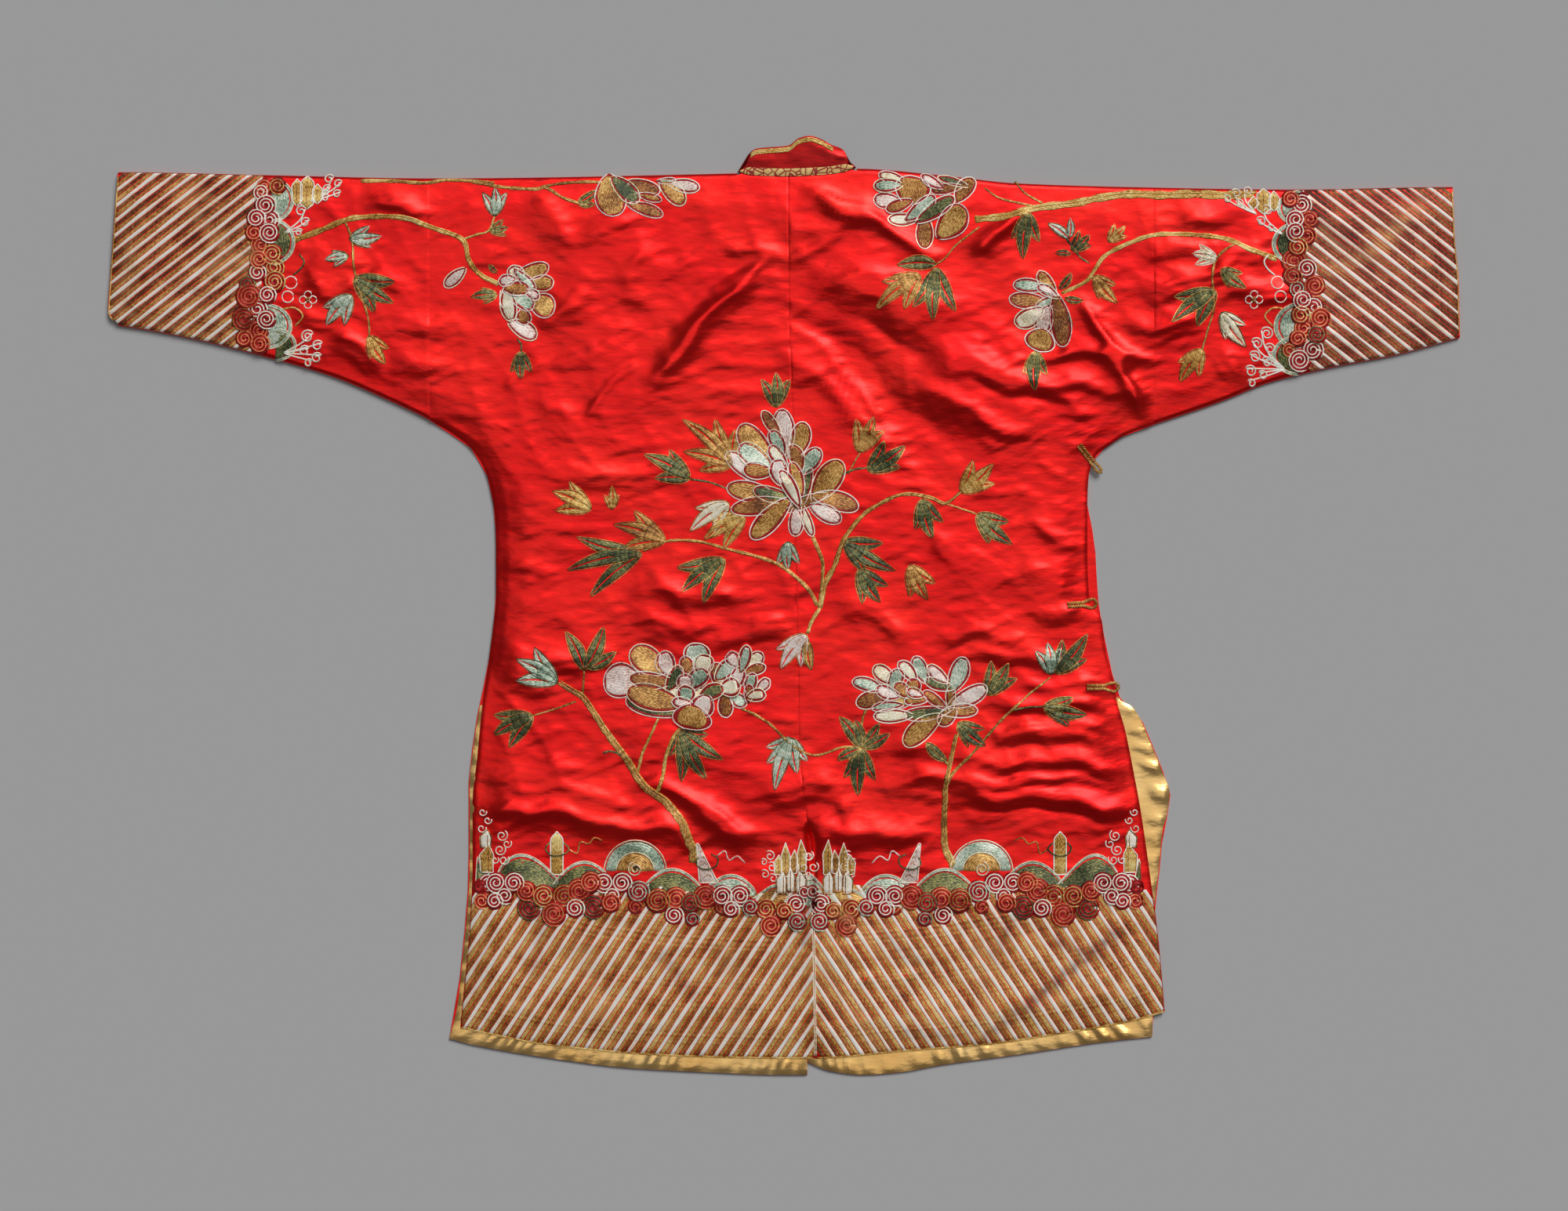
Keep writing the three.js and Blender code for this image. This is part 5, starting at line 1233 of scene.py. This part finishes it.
border_left = hem_left.finish("hem_couching_left", "couching")
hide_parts("hem_border_left")
border_right = hem_right.finish("hem_couching_right", "couching")
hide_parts("hem_border_right")
left_cuff_couching = cuff_left.finish("cuff_couching_left", "couching")
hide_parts("cuff_border_left")
right_cuff_couching = cuff_right.finish("cuff_couching_right", "couching")
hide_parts("cuff_border_right")

# Peonies on the back, the shoulders and the sleeves: each petal is couched on its own ground, with
# a pale cord round it, and lies on the petals behind it. Leaves and branches are couched flat.
# foot x, foot height, tip x, tip height, width, thread; from back to front
PEONY_CENTRE = [
    (-2, 150, -2, 193, 21, "mauve"), (-6, 168, -21, 191, 11, "russet"),
    (-16, 145, -43, 177, 24, "bronze"), (10, 150, 20, 180, 19, "bronze"),
    (-2, 152, -13, 172, 14, "jade"), (-18, 140, -44, 157, 20, "jade"),
    (-33, 127, -56, 150, 16, "mauve"), (-16, 131, -40, 134, 16, "russet"),
    (0, 140, -14, 157, 13, "cream"), (15, 136, 7, 158, 14, "russet"),
    (19, 133, 35, 154, 17, "jade"), (-3, 122, -6, 144, 17, "mauve"),
    (16, 113, 7, 141, 12, "bronze"), (33, 109, 56, 142, 24, "bronze"),
    (20, 105, 26, 135, 9.5, "moss"), (12, 103, -4, 133, 13, "cream"),
    (-15, 108, -56, 116, 19, "bronze"), (3, 106, -30, 114, 14, "moss"),
    (-2, 99, -52, 94, 17, "russet"), (0, 99, -32, 66, 20, "bronze"),
    (11, 92, 11, 68, 14, "mauve"), (20, 93, 28, 68, 9, "cream"),
    (30, 96, 56, 83, 16, "mauve"), (36, 106, 73, 96, 18, "russet"),
    (36, 107, 2, 93, 11, "russet"),
]
PEONY_LOWER_LEFT = [
    (-145, -75, -177, -76, 32, "mauve"), (-122, -62, -150, -43, 25, "bronze"),
    (-112, -66, -119, -45, 18, "mauve"), (-86, -58, -88, -37, 24, "jade"),
    (-92, -66, -99, -50, 13, "russet"), (-80, -66, -76, -48, 19, "cream"),
    (-64, -78, -67, -56, 15, "russet"), (-64, -70, -48, -54, 16, "jade"),
    (-46, -58, -54, -46, 14, "mauve"), (-42, -62, -36, -39, 12, "jade"),
    (-34, -62, -22, -46, 14, "cream"), (-36, -66, -18, -60, 11, "russet"),
    (-50, -80, -42, -60, 14, "mauve"), (-60, -82, -43, -78, 18, "cream"),
    (-34, -84, -30, -66, 12, "jade"), (-25, -82, -15, -72, 11, "mauve"),
    (-35, -93, -34, -77, 9, "russet"), (-34, -90, -18, -87, 12, "cream"),
    (-50, -88, -37, -98, 13, "jade"), (-58, -89, -57, -110, 14, "russet"),
    (-92, -79, -75, -64, 17, "jade"), (-113, -80, -102, -59, 14, "moss"),
    (-96, -84, -98, -67, 16, "mauve"), (-116, -74, -152, -71, 16, "russet"),
    (-110, -104, -155, -92, 22, "moss"), (-109, -96, -154, -84, 24, "bronze"),
    (-103, -84, -116, -85, 12, "cream"), (-98, -94, -96, -78, 17, "jade"),
    (-88, -98, -80, -80, 12, "cream"), (-80, -90, -59, -80, 15, "moss"),
    (-76, -91, -82, -109, 22, "mauve"), (-92, -97, -110, -94, 11, "mauve"),
    (-90, -101, -95, -121, 36, "bronze"),
]
PEONY_LOWER_RIGHT = [
    (93, -82, 67, -74, 13, "jade"), (106, -74, 88, -60, 15, "cream"),
    (107, -82, 114, -62, 15, "jade"), (127, -72, 113, -55, 13, "cream"),
    (138, -72, 128, -50, 14, "jade"), (158, -73, 141, -59, 12, "mauve"),
    (165, -80, 177, -51, 18, "jade"), (98, -88, 71, -97, 16, "russet"),
    (110, -88, 90, -81, 13, "mauve"), (121, -88, 108, -77, 13, "russet"),
    (128, -86, 126, -71, 14, "russet"), (162, -80, 138, -73, 11, "moss"),
    (168, -95, 199, -80, 17, "mauve"), (134, -88, 120, -83, 10, "mauve"),
    (122, -94, 101, -94, 12, "gold"), (137, -93, 118, -94, 10, "russet"),
    (156, -99, 137, -84, 10, "russet"), (164, -100, 164, -78, 9, "bronze"),
    (112, -98, 86, -101, 9, "jade"), (120, -108, 88, -109, 13, "cream"),
    (156, -103, 117, -108, 13, "moss"), (148, -112, 118, -137, 20, "bronze"),
    (166, -104, 152, -117, 14, "russet"), (160, -105, 190, -103, 13, "russet"),
]
FLOWER_SLEEVE_LEFT = [
    (-258, 326, -231, 333, 15, "bronze"), (-247, 316, -226, 317, 15, "bronze"),
    (-246, 298, -226, 288, 22, "bronze"), (-260, 318, -268, 333, 15, "cream"),
    (-262, 327, -244, 310, 10, "jade"), (-266, 276, -243, 263, 16, "mauve"),
    (-256, 289, -253, 276, 14, "russet"), (-277, 307, -275, 292, 5, "bronze"),
    (-265, 304, -246, 292, 16, "jade"), (-271, 309, -268, 279, 15, "cream"),
    (-271, 311, -250, 311, 14, "russet"), (-252, 307, -240, 302, 10, "mauve"),
    (-266, 320, -280, 317, 11, "mauve"), (-316, 328, -333, 313, 12, "mauve"),
]
FLOWER_SLEEVE_RIGHT = [
    (252, 312, 225, 315, 13, "jade"), (264, 306, 250, 328, 13, "bronze"),
    (250, 300, 221, 301, 15, "russet"), (266, 304, 248, 314, 10, "mauve"),
    (267, 301, 247, 293, 10, "jade"), (250, 289, 227, 276, 18, "cream"),
    (259, 290, 252, 267, 17, "mauve"), (254, 268, 248, 250, 28, "bronze"),
    (267, 298, 274, 254, 19, "russet"),
]
FLOWER_SHOULDER_LEFT = [
    (-171, 417, -166, 382, 28, "bronze"), (-165, 417, -143, 396, 17, "moss"),
    (-148, 392, -119, 383, 12, "russet"), (-148, 415, -122, 406, 15, "russet"),
    (-140, 403, -120, 398, 8, "bronze"), (-118, 413, -98, 394, 17, "bronze"),
    (-122, 417, -106, 418, 6, "jade"), (-108, 414, -83, 410, 13, "mauve"),
]
FLOWER_SHOULDER_RIGHT = [
    (117, 415, 93, 424, 11, "cream"), (112, 413, 88, 412, 13, "jade"),
    (108, 399, 88, 398, 15, "mauve"), (123, 398, 126, 422, 32, "russet"),
    (122, 396, 100, 388, 12, "russet"), (128, 380, 102, 379, 12, "cream"),
    (124, 382, 148, 402, 15, "jade"), (136, 380, 167, 401, 15, "moss"),
    (153, 412, 135, 423, 10, "mauve"), (176, 413, 151, 421, 8, "moss"),
    (170, 411, 144, 407, 10, "russet"), (172, 400, 186, 420, 16, "russet"),
    (155, 366, 176, 392, 26, "bronze"), (138, 378, 138, 350, 16, "russet"),
]
# the thread along a leaf's edge, for each thread of leaves
LEAF_EDGES = {"moss": "bronze", "bronze": "russet", "gold": "russet", "jade": "moss", "mauve": "russet",
              "cream": "russet"}
# foot x, foot height, tip x, tip height, lobes, thread, and the edge's thread where it is another
LEAVES = [
    (-8, 194, -8, 232, 3, "moss"), (-50, 138, -99, 182, 5, "bronze"), (-92, 124, -135, 147, 3, "moss"),
    (-54, 101, -91, 74, 3, "cream"), (-38, 88, -80, 64, 3, "gold"), (4, 63, 4, 32, 3, "jade"),
    (-189, 94, -229, 113, 3, "gold"), (-169, 94, -169, 117, 3, "gold"),
    (-116, 63, -169, 80, 3, "bronze"), (-139, 51, -219, 33, 3, "moss"), (-58, 46, -105, 10, 3, "moss"),
    (73, 150, 89, 188, 3, "bronze"), (82, 132, 119, 157, 3, "moss"), (135, 105, 146, 65, 3, "moss"),
    (173, 111, 206, 140, 3, "gold"), (189, 90, 223, 61, 3, "moss"), (58, 63, 106, 36, 3, "moss"),
    (73, 36, 96, 1, 3, "moss"), (123, 40, 142, 4, 3, "bronze"), (22, -28, -4, -63, 3, "mauve"),
    (23, -34, 27, -66, 1, "bronze", "moss"), (-196, -64, -216, -22, 1, "moss"),
    (-196, -64, -175, -16, 1, "moss"), (-194, -62, -166, -46, 1, "moss"),
    (-222, -76, -266, -51, 3, "jade"), (-246, -108, -289, -129, 3, "moss"),
    (-102, -122, -73, -176, 5, "moss"), (8, -130, -8, -178, 5, "jade"), (76, -140, 55, -110, 1, "moss"),
    (76, -140, 70, -112, 1, "moss"), (76, -140, 93, -116, 1, "moss"), (76, -140, 103, -126, 1, "moss"),
    (76, -140, 52, -152, 1, "moss"), (76, -140, 73, -186, 3, "moss"), (139, -134, 160, -153, 1, "moss"),
    (170, -115, 198, -138, 3, "moss"), (199, -88, 222, -54, 3, "moss"), (262, -68, 258, -33, 3, "jade"),
    (266, -67, 296, -30, 3, "moss"), (254, -99, 297, -107, 3, "moss"),
    (-290, 335, -280, 325, 1, "moss"), (-281, 305, -306, 303, 3, "moss"),
    (-258, 250, -258, 220, 3, "moss"), (-427, 360, -395, 363, 3, "jade"),
    (-422, 322, -380, 295, 3, "moss"), (-408, 265, -391, 237, 3, "gold"),
    (-427, 343, -451, 339, 3, "jade"), (-424, 305, -450, 274, 3, "jade"),
    (282, 345, 264, 346, 1, "moss"), (282, 348, 302, 366, 3, "moss"), (318, 357, 336, 374, 3, "gold"),
    (304, 324, 326, 298, 3, "bronze"), (270, 310, 283, 328, 1, "moss"), (275, 302, 296, 299, 1, "moss"),
    (270, 295, 284, 273, 1, "moss"), (247, 250, 246, 213, 3, "moss"),
    (425, 340, 398, 346, 3, "cream", "white"), (428, 330, 452, 312, 3, "moss"),
    (424, 309, 380, 278, 3, "moss", "gold"), (429, 288, 452, 256, 3, "cream", "moss"),
    (411, 252, 389, 220, 3, "gold"), (-203, 395, -183, 394, 1, "moss"),
    (-203, 395, -181, 410, 1, "moss"), (-284, 382, -284, 414, 3, "jade"),
    (-290, 368, -268, 372, 3, "moss"), (150, 335, 108, 334, 1, "moss"), (150, 332, 146, 275, 3, "moss"),
    (134, 325, 92, 292, 3, "bronze"), (240, 386, 235, 343, 3, "moss"), (280, 360, 258, 376, 1, "jade"),
    (280, 360, 281, 382, 1, "jade"),
]
# thread, width at its start and end, points
BRANCHES = [
    ("bronze", 3.2, 2.6, [(-416, 417), (-385, 417), (-354, 415), (-331, 418), (-308, 417), (-285, 415)]),
    ("bronze", 3.0, 2.6, [(-308, 417), (-277, 411), (-246, 409), (-233, 410), (-216, 400), (-192, 392)]),
    ("bronze", 2.2, 3.0, [(-239, 411), (-216, 415), (-185, 416), (-165, 412)]),
    ("gold", 4.8, 3.6, [(-482, 358), (-453, 369), (-434, 377), (-416, 381), (-377, 381), (-346, 371),
                        (-316, 359), (-310, 340), (-300, 326), (-280, 315)]),
    ("bronze", 2.2, 1.8, [(-431, 377), (-424, 359), (-422, 332), (-416, 308), (-408, 282), (-407, 265)]),
    ("gold", 2.0, 1.8, [(-316, 359), (-302, 364), (-290, 368), (-284, 382)]),
    ("moss", 1.8, 1.4, [(-262, 262), (-258, 256), (-258, 248)]),
    ("gold", 7.0, 6.0, [(462, 404), (430, 403), (400, 404), (370, 403), (339, 404), (308, 400),
                        (285, 395), (246, 390), (216, 382), (187, 379)]),
    ("bronze", 2.2, 1.6, [(246, 392), (223, 397), (210, 401), (197, 410)]),
    ("bronze", 2.2, 1.6, [(254, 395), (237, 405), (227, 417)]),
    ("bronze", 1.8, 1.4, [(192, 372), (178, 361), (168, 353), (158, 341), (148, 334)]),
    ("gold", 4.6, 3.2, [(484, 340), (456, 350), (433, 360), (400, 364), (366, 364), (342, 357),
                        (316, 344), (304, 328), (296, 318), (272, 306)]),
    ("bronze", 2.2, 1.8, [(447, 358), (427, 344), (420, 325), (422, 294), (416, 271), (410, 250)]),
    ("moss", 1.8, 1.4, [(276, 362), (290, 343), (300, 336)]),
    ("bronze", 4.6, 2.4, [(35, -3), (40, 20), (50, 40), (58, 63), (73, 84), (89, 97), (116, 109),
                          (142, 106), (158, 100), (173, 111)]),
    ("bronze", 1.8, 1.6, [(142, 106), (165, 98), (189, 90)]),
    ("bronze", 3.4, 2.4, [(28, 67), (35, 51), (38, 40), (37, 20), (35, 5)]),
    ("bronze", 2.0, 3.6, [(-139, 53), (-116, 63), (-85, 63), (-54, 55), (-23, 47), (0, 37), (23, 17),
                          (33, 0)]),
    ("bronze", 3.4, 3.0, [(35, -3), (27, -16), (23, -28)]),
    ("moss", 2.4, 1.6, [(45, 124), (55, 128), (71, 134), (82, 135)]),
    ("bronze", 1.6, 1.4, [(63, 129), (71, 144), (75, 150)]),
    ("moss", 1.8, 1.4, [(-92, 124), (-73, 121), (-54, 114)]),
    ("bronze", 7.4, 3.0, [(-89, -253), (-89, -241), (-94, -230), (-100, -214), (-108, -203), (-119, -191),
                          (-135, -180), (-145, -168), (-154, -153), (-166, -137), (-177, -122),
                          (-186, -108), (-198, -91), (-209, -84), (-222, -76)]),
    ("bronze", 2.0, 1.6, [(-198, -90), (-197, -78), (-196, -64)]),
    ("bronze", 1.8, 1.4, [(-204, -94), (-223, -101), (-246, -108)]),
    ("gold", 2.6, 2.2, [(-145, -168), (-142, -157), (-139, -145), (-132, -130), (-123, -110)]),
    ("gold", 3.4, 2.6, [(-125, -185), (-119, -168), (-116, -149), (-109, -130), (-102, -120)]),
    ("moss", 1.8, 1.4, [(-178, -145), (-170, -143), (-160, -147), (-150, -150)]),
    ("bronze", 2.4, 2.0, [(-42, -101), (-27, -108), (-12, -118), (8, -137), (31, -147), (58, -139),
                          (76, -140)]),
    ("bronze", 6.0, 3.0, [(166, -257), (162, -247), (158, -238), (157, -214), (158, -191), (158, -180),
                          (163, -153), (169, -126)]),
    ("bronze", 2.6, 1.8, [(160, -176), (166, -164), (181, -149), (192, -137), (208, -118), (223, -103),
                          (243, -85), (262, -70)]),
    ("moss", 1.8, 1.4, [(223, -103), (239, -100), (254, -99)]),
    ("bronze", 2.4, 2.0, [(162, -157), (150, -145), (139, -134)]),
    ("bronze", 2.2, 1.8, [(81, -101), (77, -112), (76, -128), (76, -140)]),
]


def petal(motifs, x, y, tip_x, tip_y, width, thread, level, bow, rim):
    """Petal with a foot and a round tip. At s of its length its half width is half of width times
    sin(pi s**1.3)**0.45, and its middle line bows sideways by bow sin(pi s). Its foot goes on
    under the petals in front. The laid thread is 1.9 mm inside the cord round it, so that a line
    of the red ground shows between them."""
    foot, tip = np.array([x, y], float), np.array([tip_x, tip_y], float)
    ahead = (tip - foot) / math.dist(foot, tip)
    foot = foot - ahead * 0.22 * math.dist(foot, tip)
    width = width * 1.08
    normal = np.array([-ahead[1], ahead[0]])

    def edges(s, inset):
        middle = mix(foot, tip, s[:, None]) + (bow * np.sin(math.pi * s))[:, None] * normal
        half = np.maximum(0.05, width / 2 * np.sin(math.pi * np.clip(s, 0, 1) ** 1.3) ** 0.45 - inset)
        return middle + half[:, None] * normal, middle - half[:, None] * normal

    length = math.dist(foot, tip)
    s = 0.5 - 0.5 * np.cos(np.linspace(0, math.pi, max(9, int(length / 1.8))))
    a, b = edges(s, 0)
    across = 5 + 2 * int(width / 8)
    motifs.lay(a, b, level, "red", across, 0.6, 14)
    motifs.lay(*edges(mix(0.06, 1 - 1.9 / length, s), 1.9), level + 0.35, thread, across + 2, 0.8, 10)
    outline = np.concatenate([a, b[::-1]])
    motifs.line(outline[::2], 1.55, level + 0.6, rim, 4, 2.0)


def flower(motifs, rows):
    """Petals from back to front. Each stands one step above the highest petal that it covers,
    which four circles along every petal find."""
    laid = []
    for k, (x, y, tip_x, tip_y, width, thread) in enumerate(rows):
        along = np.array([0.35, 0.55, 0.75, 0.9])
        centres = np.stack([mix(x, tip_x, along), mix(y, tip_y, along)], -1)
        radii = width / 2 * np.array([0.85, 1, 0.9, 0.6])
        below = [level for others, sizes, level in laid
                 if (np.hypot(*(centres[:, None] - others[None]).transpose(2, 0, 1))
                     < radii[:, None] + sizes[None] - 2).any()]
        level = max(below, default=0.45) + 0.45
        laid.append((centres, radii, level))
        petal(motifs, x, y, tip_x, tip_y, width, thread, level, (k % 3 - 1) * width * 0.07,
              ("mauve", "cream", "mauve", "white")[k % 4])


def leaf(motifs, x, y, tip_x, tip_y, lobes, thread, edge=None):
    """Pointed lobes that fan out from a leaf's foot: the middle one reaches its tip, and the next
    ones are turned by 27 and 52 degrees and shorter. A lobe is two halves beside a split vein."""
    length, heading = math.dist((x, y), (tip_x, tip_y)), math.atan2(tip_y - y, tip_x - x)
    foot = np.array([x, y], float)
    for k in sorted(range(-(lobes // 2), lobes // 2 + 1), key=lambda k: -abs(k)):
        turn = heading + math.radians((0, 27, 52)[abs(k)]) * (1 if k > 0 else -1)
        reach = length * (1, 0.78, 0.52)[abs(k)] * (1 + 0.08 * math.sin(x + 3 * k))
        ahead = np.array([math.cos(turn), math.sin(turn)])
        normal = np.array([-ahead[1], ahead[0]])
        s = np.linspace(0, 1, max(8, int(reach / 2)))[:, None]
        width = min(15, max(5.5, reach * 0.37))
        half = width / 2 * np.sin(math.pi * s ** 0.85) ** 0.85
        middle = foot + s * reach * ahead + normal * np.sin(math.pi * s) * reach * 0.05 * (1 if k < 0 else -1)
        level = 0.8 + 0.25 * (2 - abs(k))
        for sign in (1, -1):
            motifs.lay(middle + sign * normal * np.minimum(half, 0.3),
                       middle + sign * normal * np.maximum(half - 0.5, 0.05), level, thread, 5, 1, 8)
            motifs.line((middle + sign * normal * half)[::2], 0.95, level + 0.15,
                        edge or LEAF_EDGES[thread], 4, 2.2)


def branch(motifs, thread, start, end, points):
    """Stem of couched cord, knotted here and there. Stems over 3 mm wide have a second, gold cord
    along their upper right side, towards the key light: a painted highlight of the stem."""
    path = np.array(points, float)
    start, end = 1.35 * start, 1.3 * end
    count = 3 * len(points)
    knots = 1 + 0.18 * np.sin(np.arange(count) * 2.3 + points[0][0])
    motifs.line(path, mix(start, end, np.linspace(0, 1, count)) * knots, 1.2, thread, 5, 2.0)
    # The gold cord lies up and to the right, towards the key light: painted highlight on the stem's lit side.
    if start > 4.2:
        motifs.line(path + (0.25 * start, 0.2 * start), [0.42 * start, 0.42 * end], 1.6, "gold", 4, 2.0)


embroidery = {name: Motifs() for name in ("back_left", "back_right", "arm_left", "arm_right")}


def panel_at(x):
    """The motifs of the half or the sleeve that a place lies on."""
    if x < SLEEVE_SEAM_LEFT:
        return embroidery["arm_left"]
    if x > SLEEVE_SEAM_RIGHT:
        return embroidery["arm_right"]
    return embroidery["back_left" if x < 0 else "back_right"]


for row in BRANCHES:
    branch(panel_at(row[3][len(row[3]) // 2][0]), *row)
for row in LEAVES:
    leaf(panel_at(row[0]), *row)
stitched = {name: motifs.finish("leaves_and_branches_" + name, "couching")
            for name, motifs in embroidery.items()}
for name, rows in (
    ("peony_centre", PEONY_CENTRE), ("peony_lower_left", PEONY_LOWER_LEFT),
    ("peony_lower_right", PEONY_LOWER_RIGHT), ("flower_beside_left_sleeve", FLOWER_SLEEVE_LEFT),
    ("flower_beside_right_sleeve", FLOWER_SLEEVE_RIGHT),
    ("flower_left_shoulder", FLOWER_SHOULDER_LEFT), ("flower_right_shoulder", FLOWER_SHOULDER_RIGHT),
):
    motifs = Motifs()
    flower(motifs, rows)
    stitched[name] = motifs.finish(name, "couching")

# Trims of the collar: a gold and dark red brocade ribbon over its seam, and a narrow braid of gold
# thread below its top edge.
brocade, nodes, links, shader = new_material("gold_brocade")
rows = nodes.new("ShaderNodeTexCoord").outputs["UV"]
figure = nodes.new("ShaderNodeTexVoronoi")
figure.feature = "DISTANCE_TO_EDGE"
figure.inputs["Scale"].default_value = 150
links.new(rows, figure.inputs["Vector"])
figured = ramp(nodes, links, figure.outputs["Distance"], [
    (0.02, 0.26, 0.008, 0.006), (0.05, 0.26, 0.008, 0.006), (0.09, 0.60, 0.38, 0.13),
    (0.5, 0.78, 0.54, 0.22)])
links.new(figured, shader.inputs["Base Color"])
shader.inputs["Metallic"].default_value = 0.4
shader.inputs["Roughness"].default_value = 0.45
links.new(bump(nodes, links, figure.outputs["Distance"], 0.0004), shader.inputs["Normal"])


def ribbon(name, x, low, high, level, thickness, material):
    """Strip over x between two lines, with a slightly rounded top, lying on the cloth below it or
    at a level, whichever is higher."""
    j = np.linspace(0, 1, 7)[:, None]
    place_x, place_y = x[None] + 0 * j, mix(low[None], high[None], j)
    z = np.maximum(back_top(place_x, place_y) + 0.2, level) + thickness + 0.25 * np.sin(math.pi * j)
    across = j * (high - low)[None]
    uv = np.dstack([x[None] + 0 * j, across])
    return cloth_piece(name, np.dstack([place_x, place_y, z]), thickness, material, uv=uv)


x = np.linspace(NECK_LEFT[0] + 3, NECK_RIGHT[0] - 3, 90)
end = ease(np.minimum(x - x[0] + 4, x[-1] - x + 4) / 14)
base_ribbon = ribbon("brocade_ribbon", x, collar_base(x) - 3 * end, collar_base(x) + 4.5 * end,
                     BACK_LEVEL + CLOTH + 0.9, 0.7, brocade)
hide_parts("collar_base_trim")
x, y = collar_back(np.linspace(0.03, 0.84, 90), 1)
top_braid = ribbon("gold_braid", x, y - 6, y - 1.5, BACK_LEVEL + CLOTH + 0.7, 0.7, COUCHING["gold"])
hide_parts("collar_top_trim")

# Loops of the side fastening: hairpins of two gold strands twisted together, sewn to the right
# edge, whose knots lie hidden under the front.
# start, end, half width of the eye
LOOP_1 = ((289.5, 157.5), (311, 131), 2.3)
LOOP_2 = ((278, 0.4), (307, 2.4), 4.2)
LOOP_3 = ((297, -80), (328.5, -80), 4.2)
CORD_RADIUS = 1.3
STRAND_RADIUS, STRAND_OFFSET, TWIST = 1.0, 0.75, 5


def cord_loop(name, start, end, eye):
    """Twisted cord along a hairpin: out on one side of the line from start to end, widening into
    the eye, and back on the other. Each strand's middle turns about the path every 5 mm."""
    start, end = np.array(start, float), np.array(end, float)
    length = math.dist(start, end)
    ahead = (end - start) / length
    side = np.array([-ahead[1], ahead[0]])
    apart = 1.75
    half = [(0, apart), (0.3, apart), (0.55, apart), (0.7, max(apart, eye * 0.8)),
            (0.85, max(apart, eye)), (0.95, max(apart, eye) * 0.75), (1, 0)]
    half = half + [(along, -away) for along, away in half[-2::-1]]
    flat = smooth([start + ahead * along * length + side * away for along, away in half], 0.6)
    inside = edge_distance(flat[:, 0], flat[:, 1]) > 0
    level = np.where(inside, back_top(flat[:, 0], flat[:, 1]), BACK_LEVEL + CLOTH - 0.6)
    kernel = np.hanning(9) / np.hanning(9).sum()
    level = np.convolve(np.pad(level, 4, mode="edge"), kernel, "valid") + CORD_RADIUS + 0.5
    path = np.column_stack([flat, level])
    run = run_along(flat)
    tangent = np.gradient(path, axis=0)
    tangent /= np.linalg.norm(tangent, axis=1)[:, None]
    across = np.cross(tangent, [0, 0, 1])
    across /= np.linalg.norm(across, axis=1)[:, None]
    up = np.cross(across, tangent)
    count, around = len(path), 8
    vertices, faces, uv = [], [], []
    for strand in (0, 1):
        turn = (run * 2 * math.pi / TWIST + strand * math.pi)[:, None]
        middle = path + STRAND_OFFSET * (np.cos(turn) * across + np.sin(turn) * up)
        a = np.linspace(0, 2 * math.pi, around, endpoint=False)[None, :, None]
        ring = middle[:, None] + STRAND_RADIUS * (np.cos(a) * across[:, None] + np.sin(a) * up[:, None])
        number = np.arange(count * around).reshape(count, around) + strand * count * around
        loop = np.concatenate([number, number[:, :1]], 1)
        quads = np.stack([loop[:-1, :-1], loop[1:, :-1], loop[1:, 1:], loop[:-1, 1:]], -1)
        vertices.append(ring.reshape(-1, 3))
        faces += quads.reshape(-1, 4).tolist() + [number[0].tolist(), number[-1, ::-1].tolist()]
        uv.append(np.stack(np.broadcast_arrays(run[:, None], a[0, :, 0][None]), -1).reshape(-1, 2))
    mesh = bpy.data.meshes.new(name)
    mesh.from_pydata((np.concatenate(vertices) * MM).tolist(), [], faces)
    mesh.shade_smooth()
    mesh.materials.append(COUCHING["bronze"])
    lay_rows(mesh, np.concatenate(uv))
    piece = in_scene(name, mesh)
    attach(piece, "root")
    return piece


upper_loop = cord_loop("gold_loop_upper", *LOOP_1)
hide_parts("loop_1")
middle_loop = cord_loop("gold_loop_middle", *LOOP_2)
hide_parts("loop_2")
lower_loop = cord_loop("gold_loop_lower", *LOOP_3)
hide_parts("loop_3")

low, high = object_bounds()
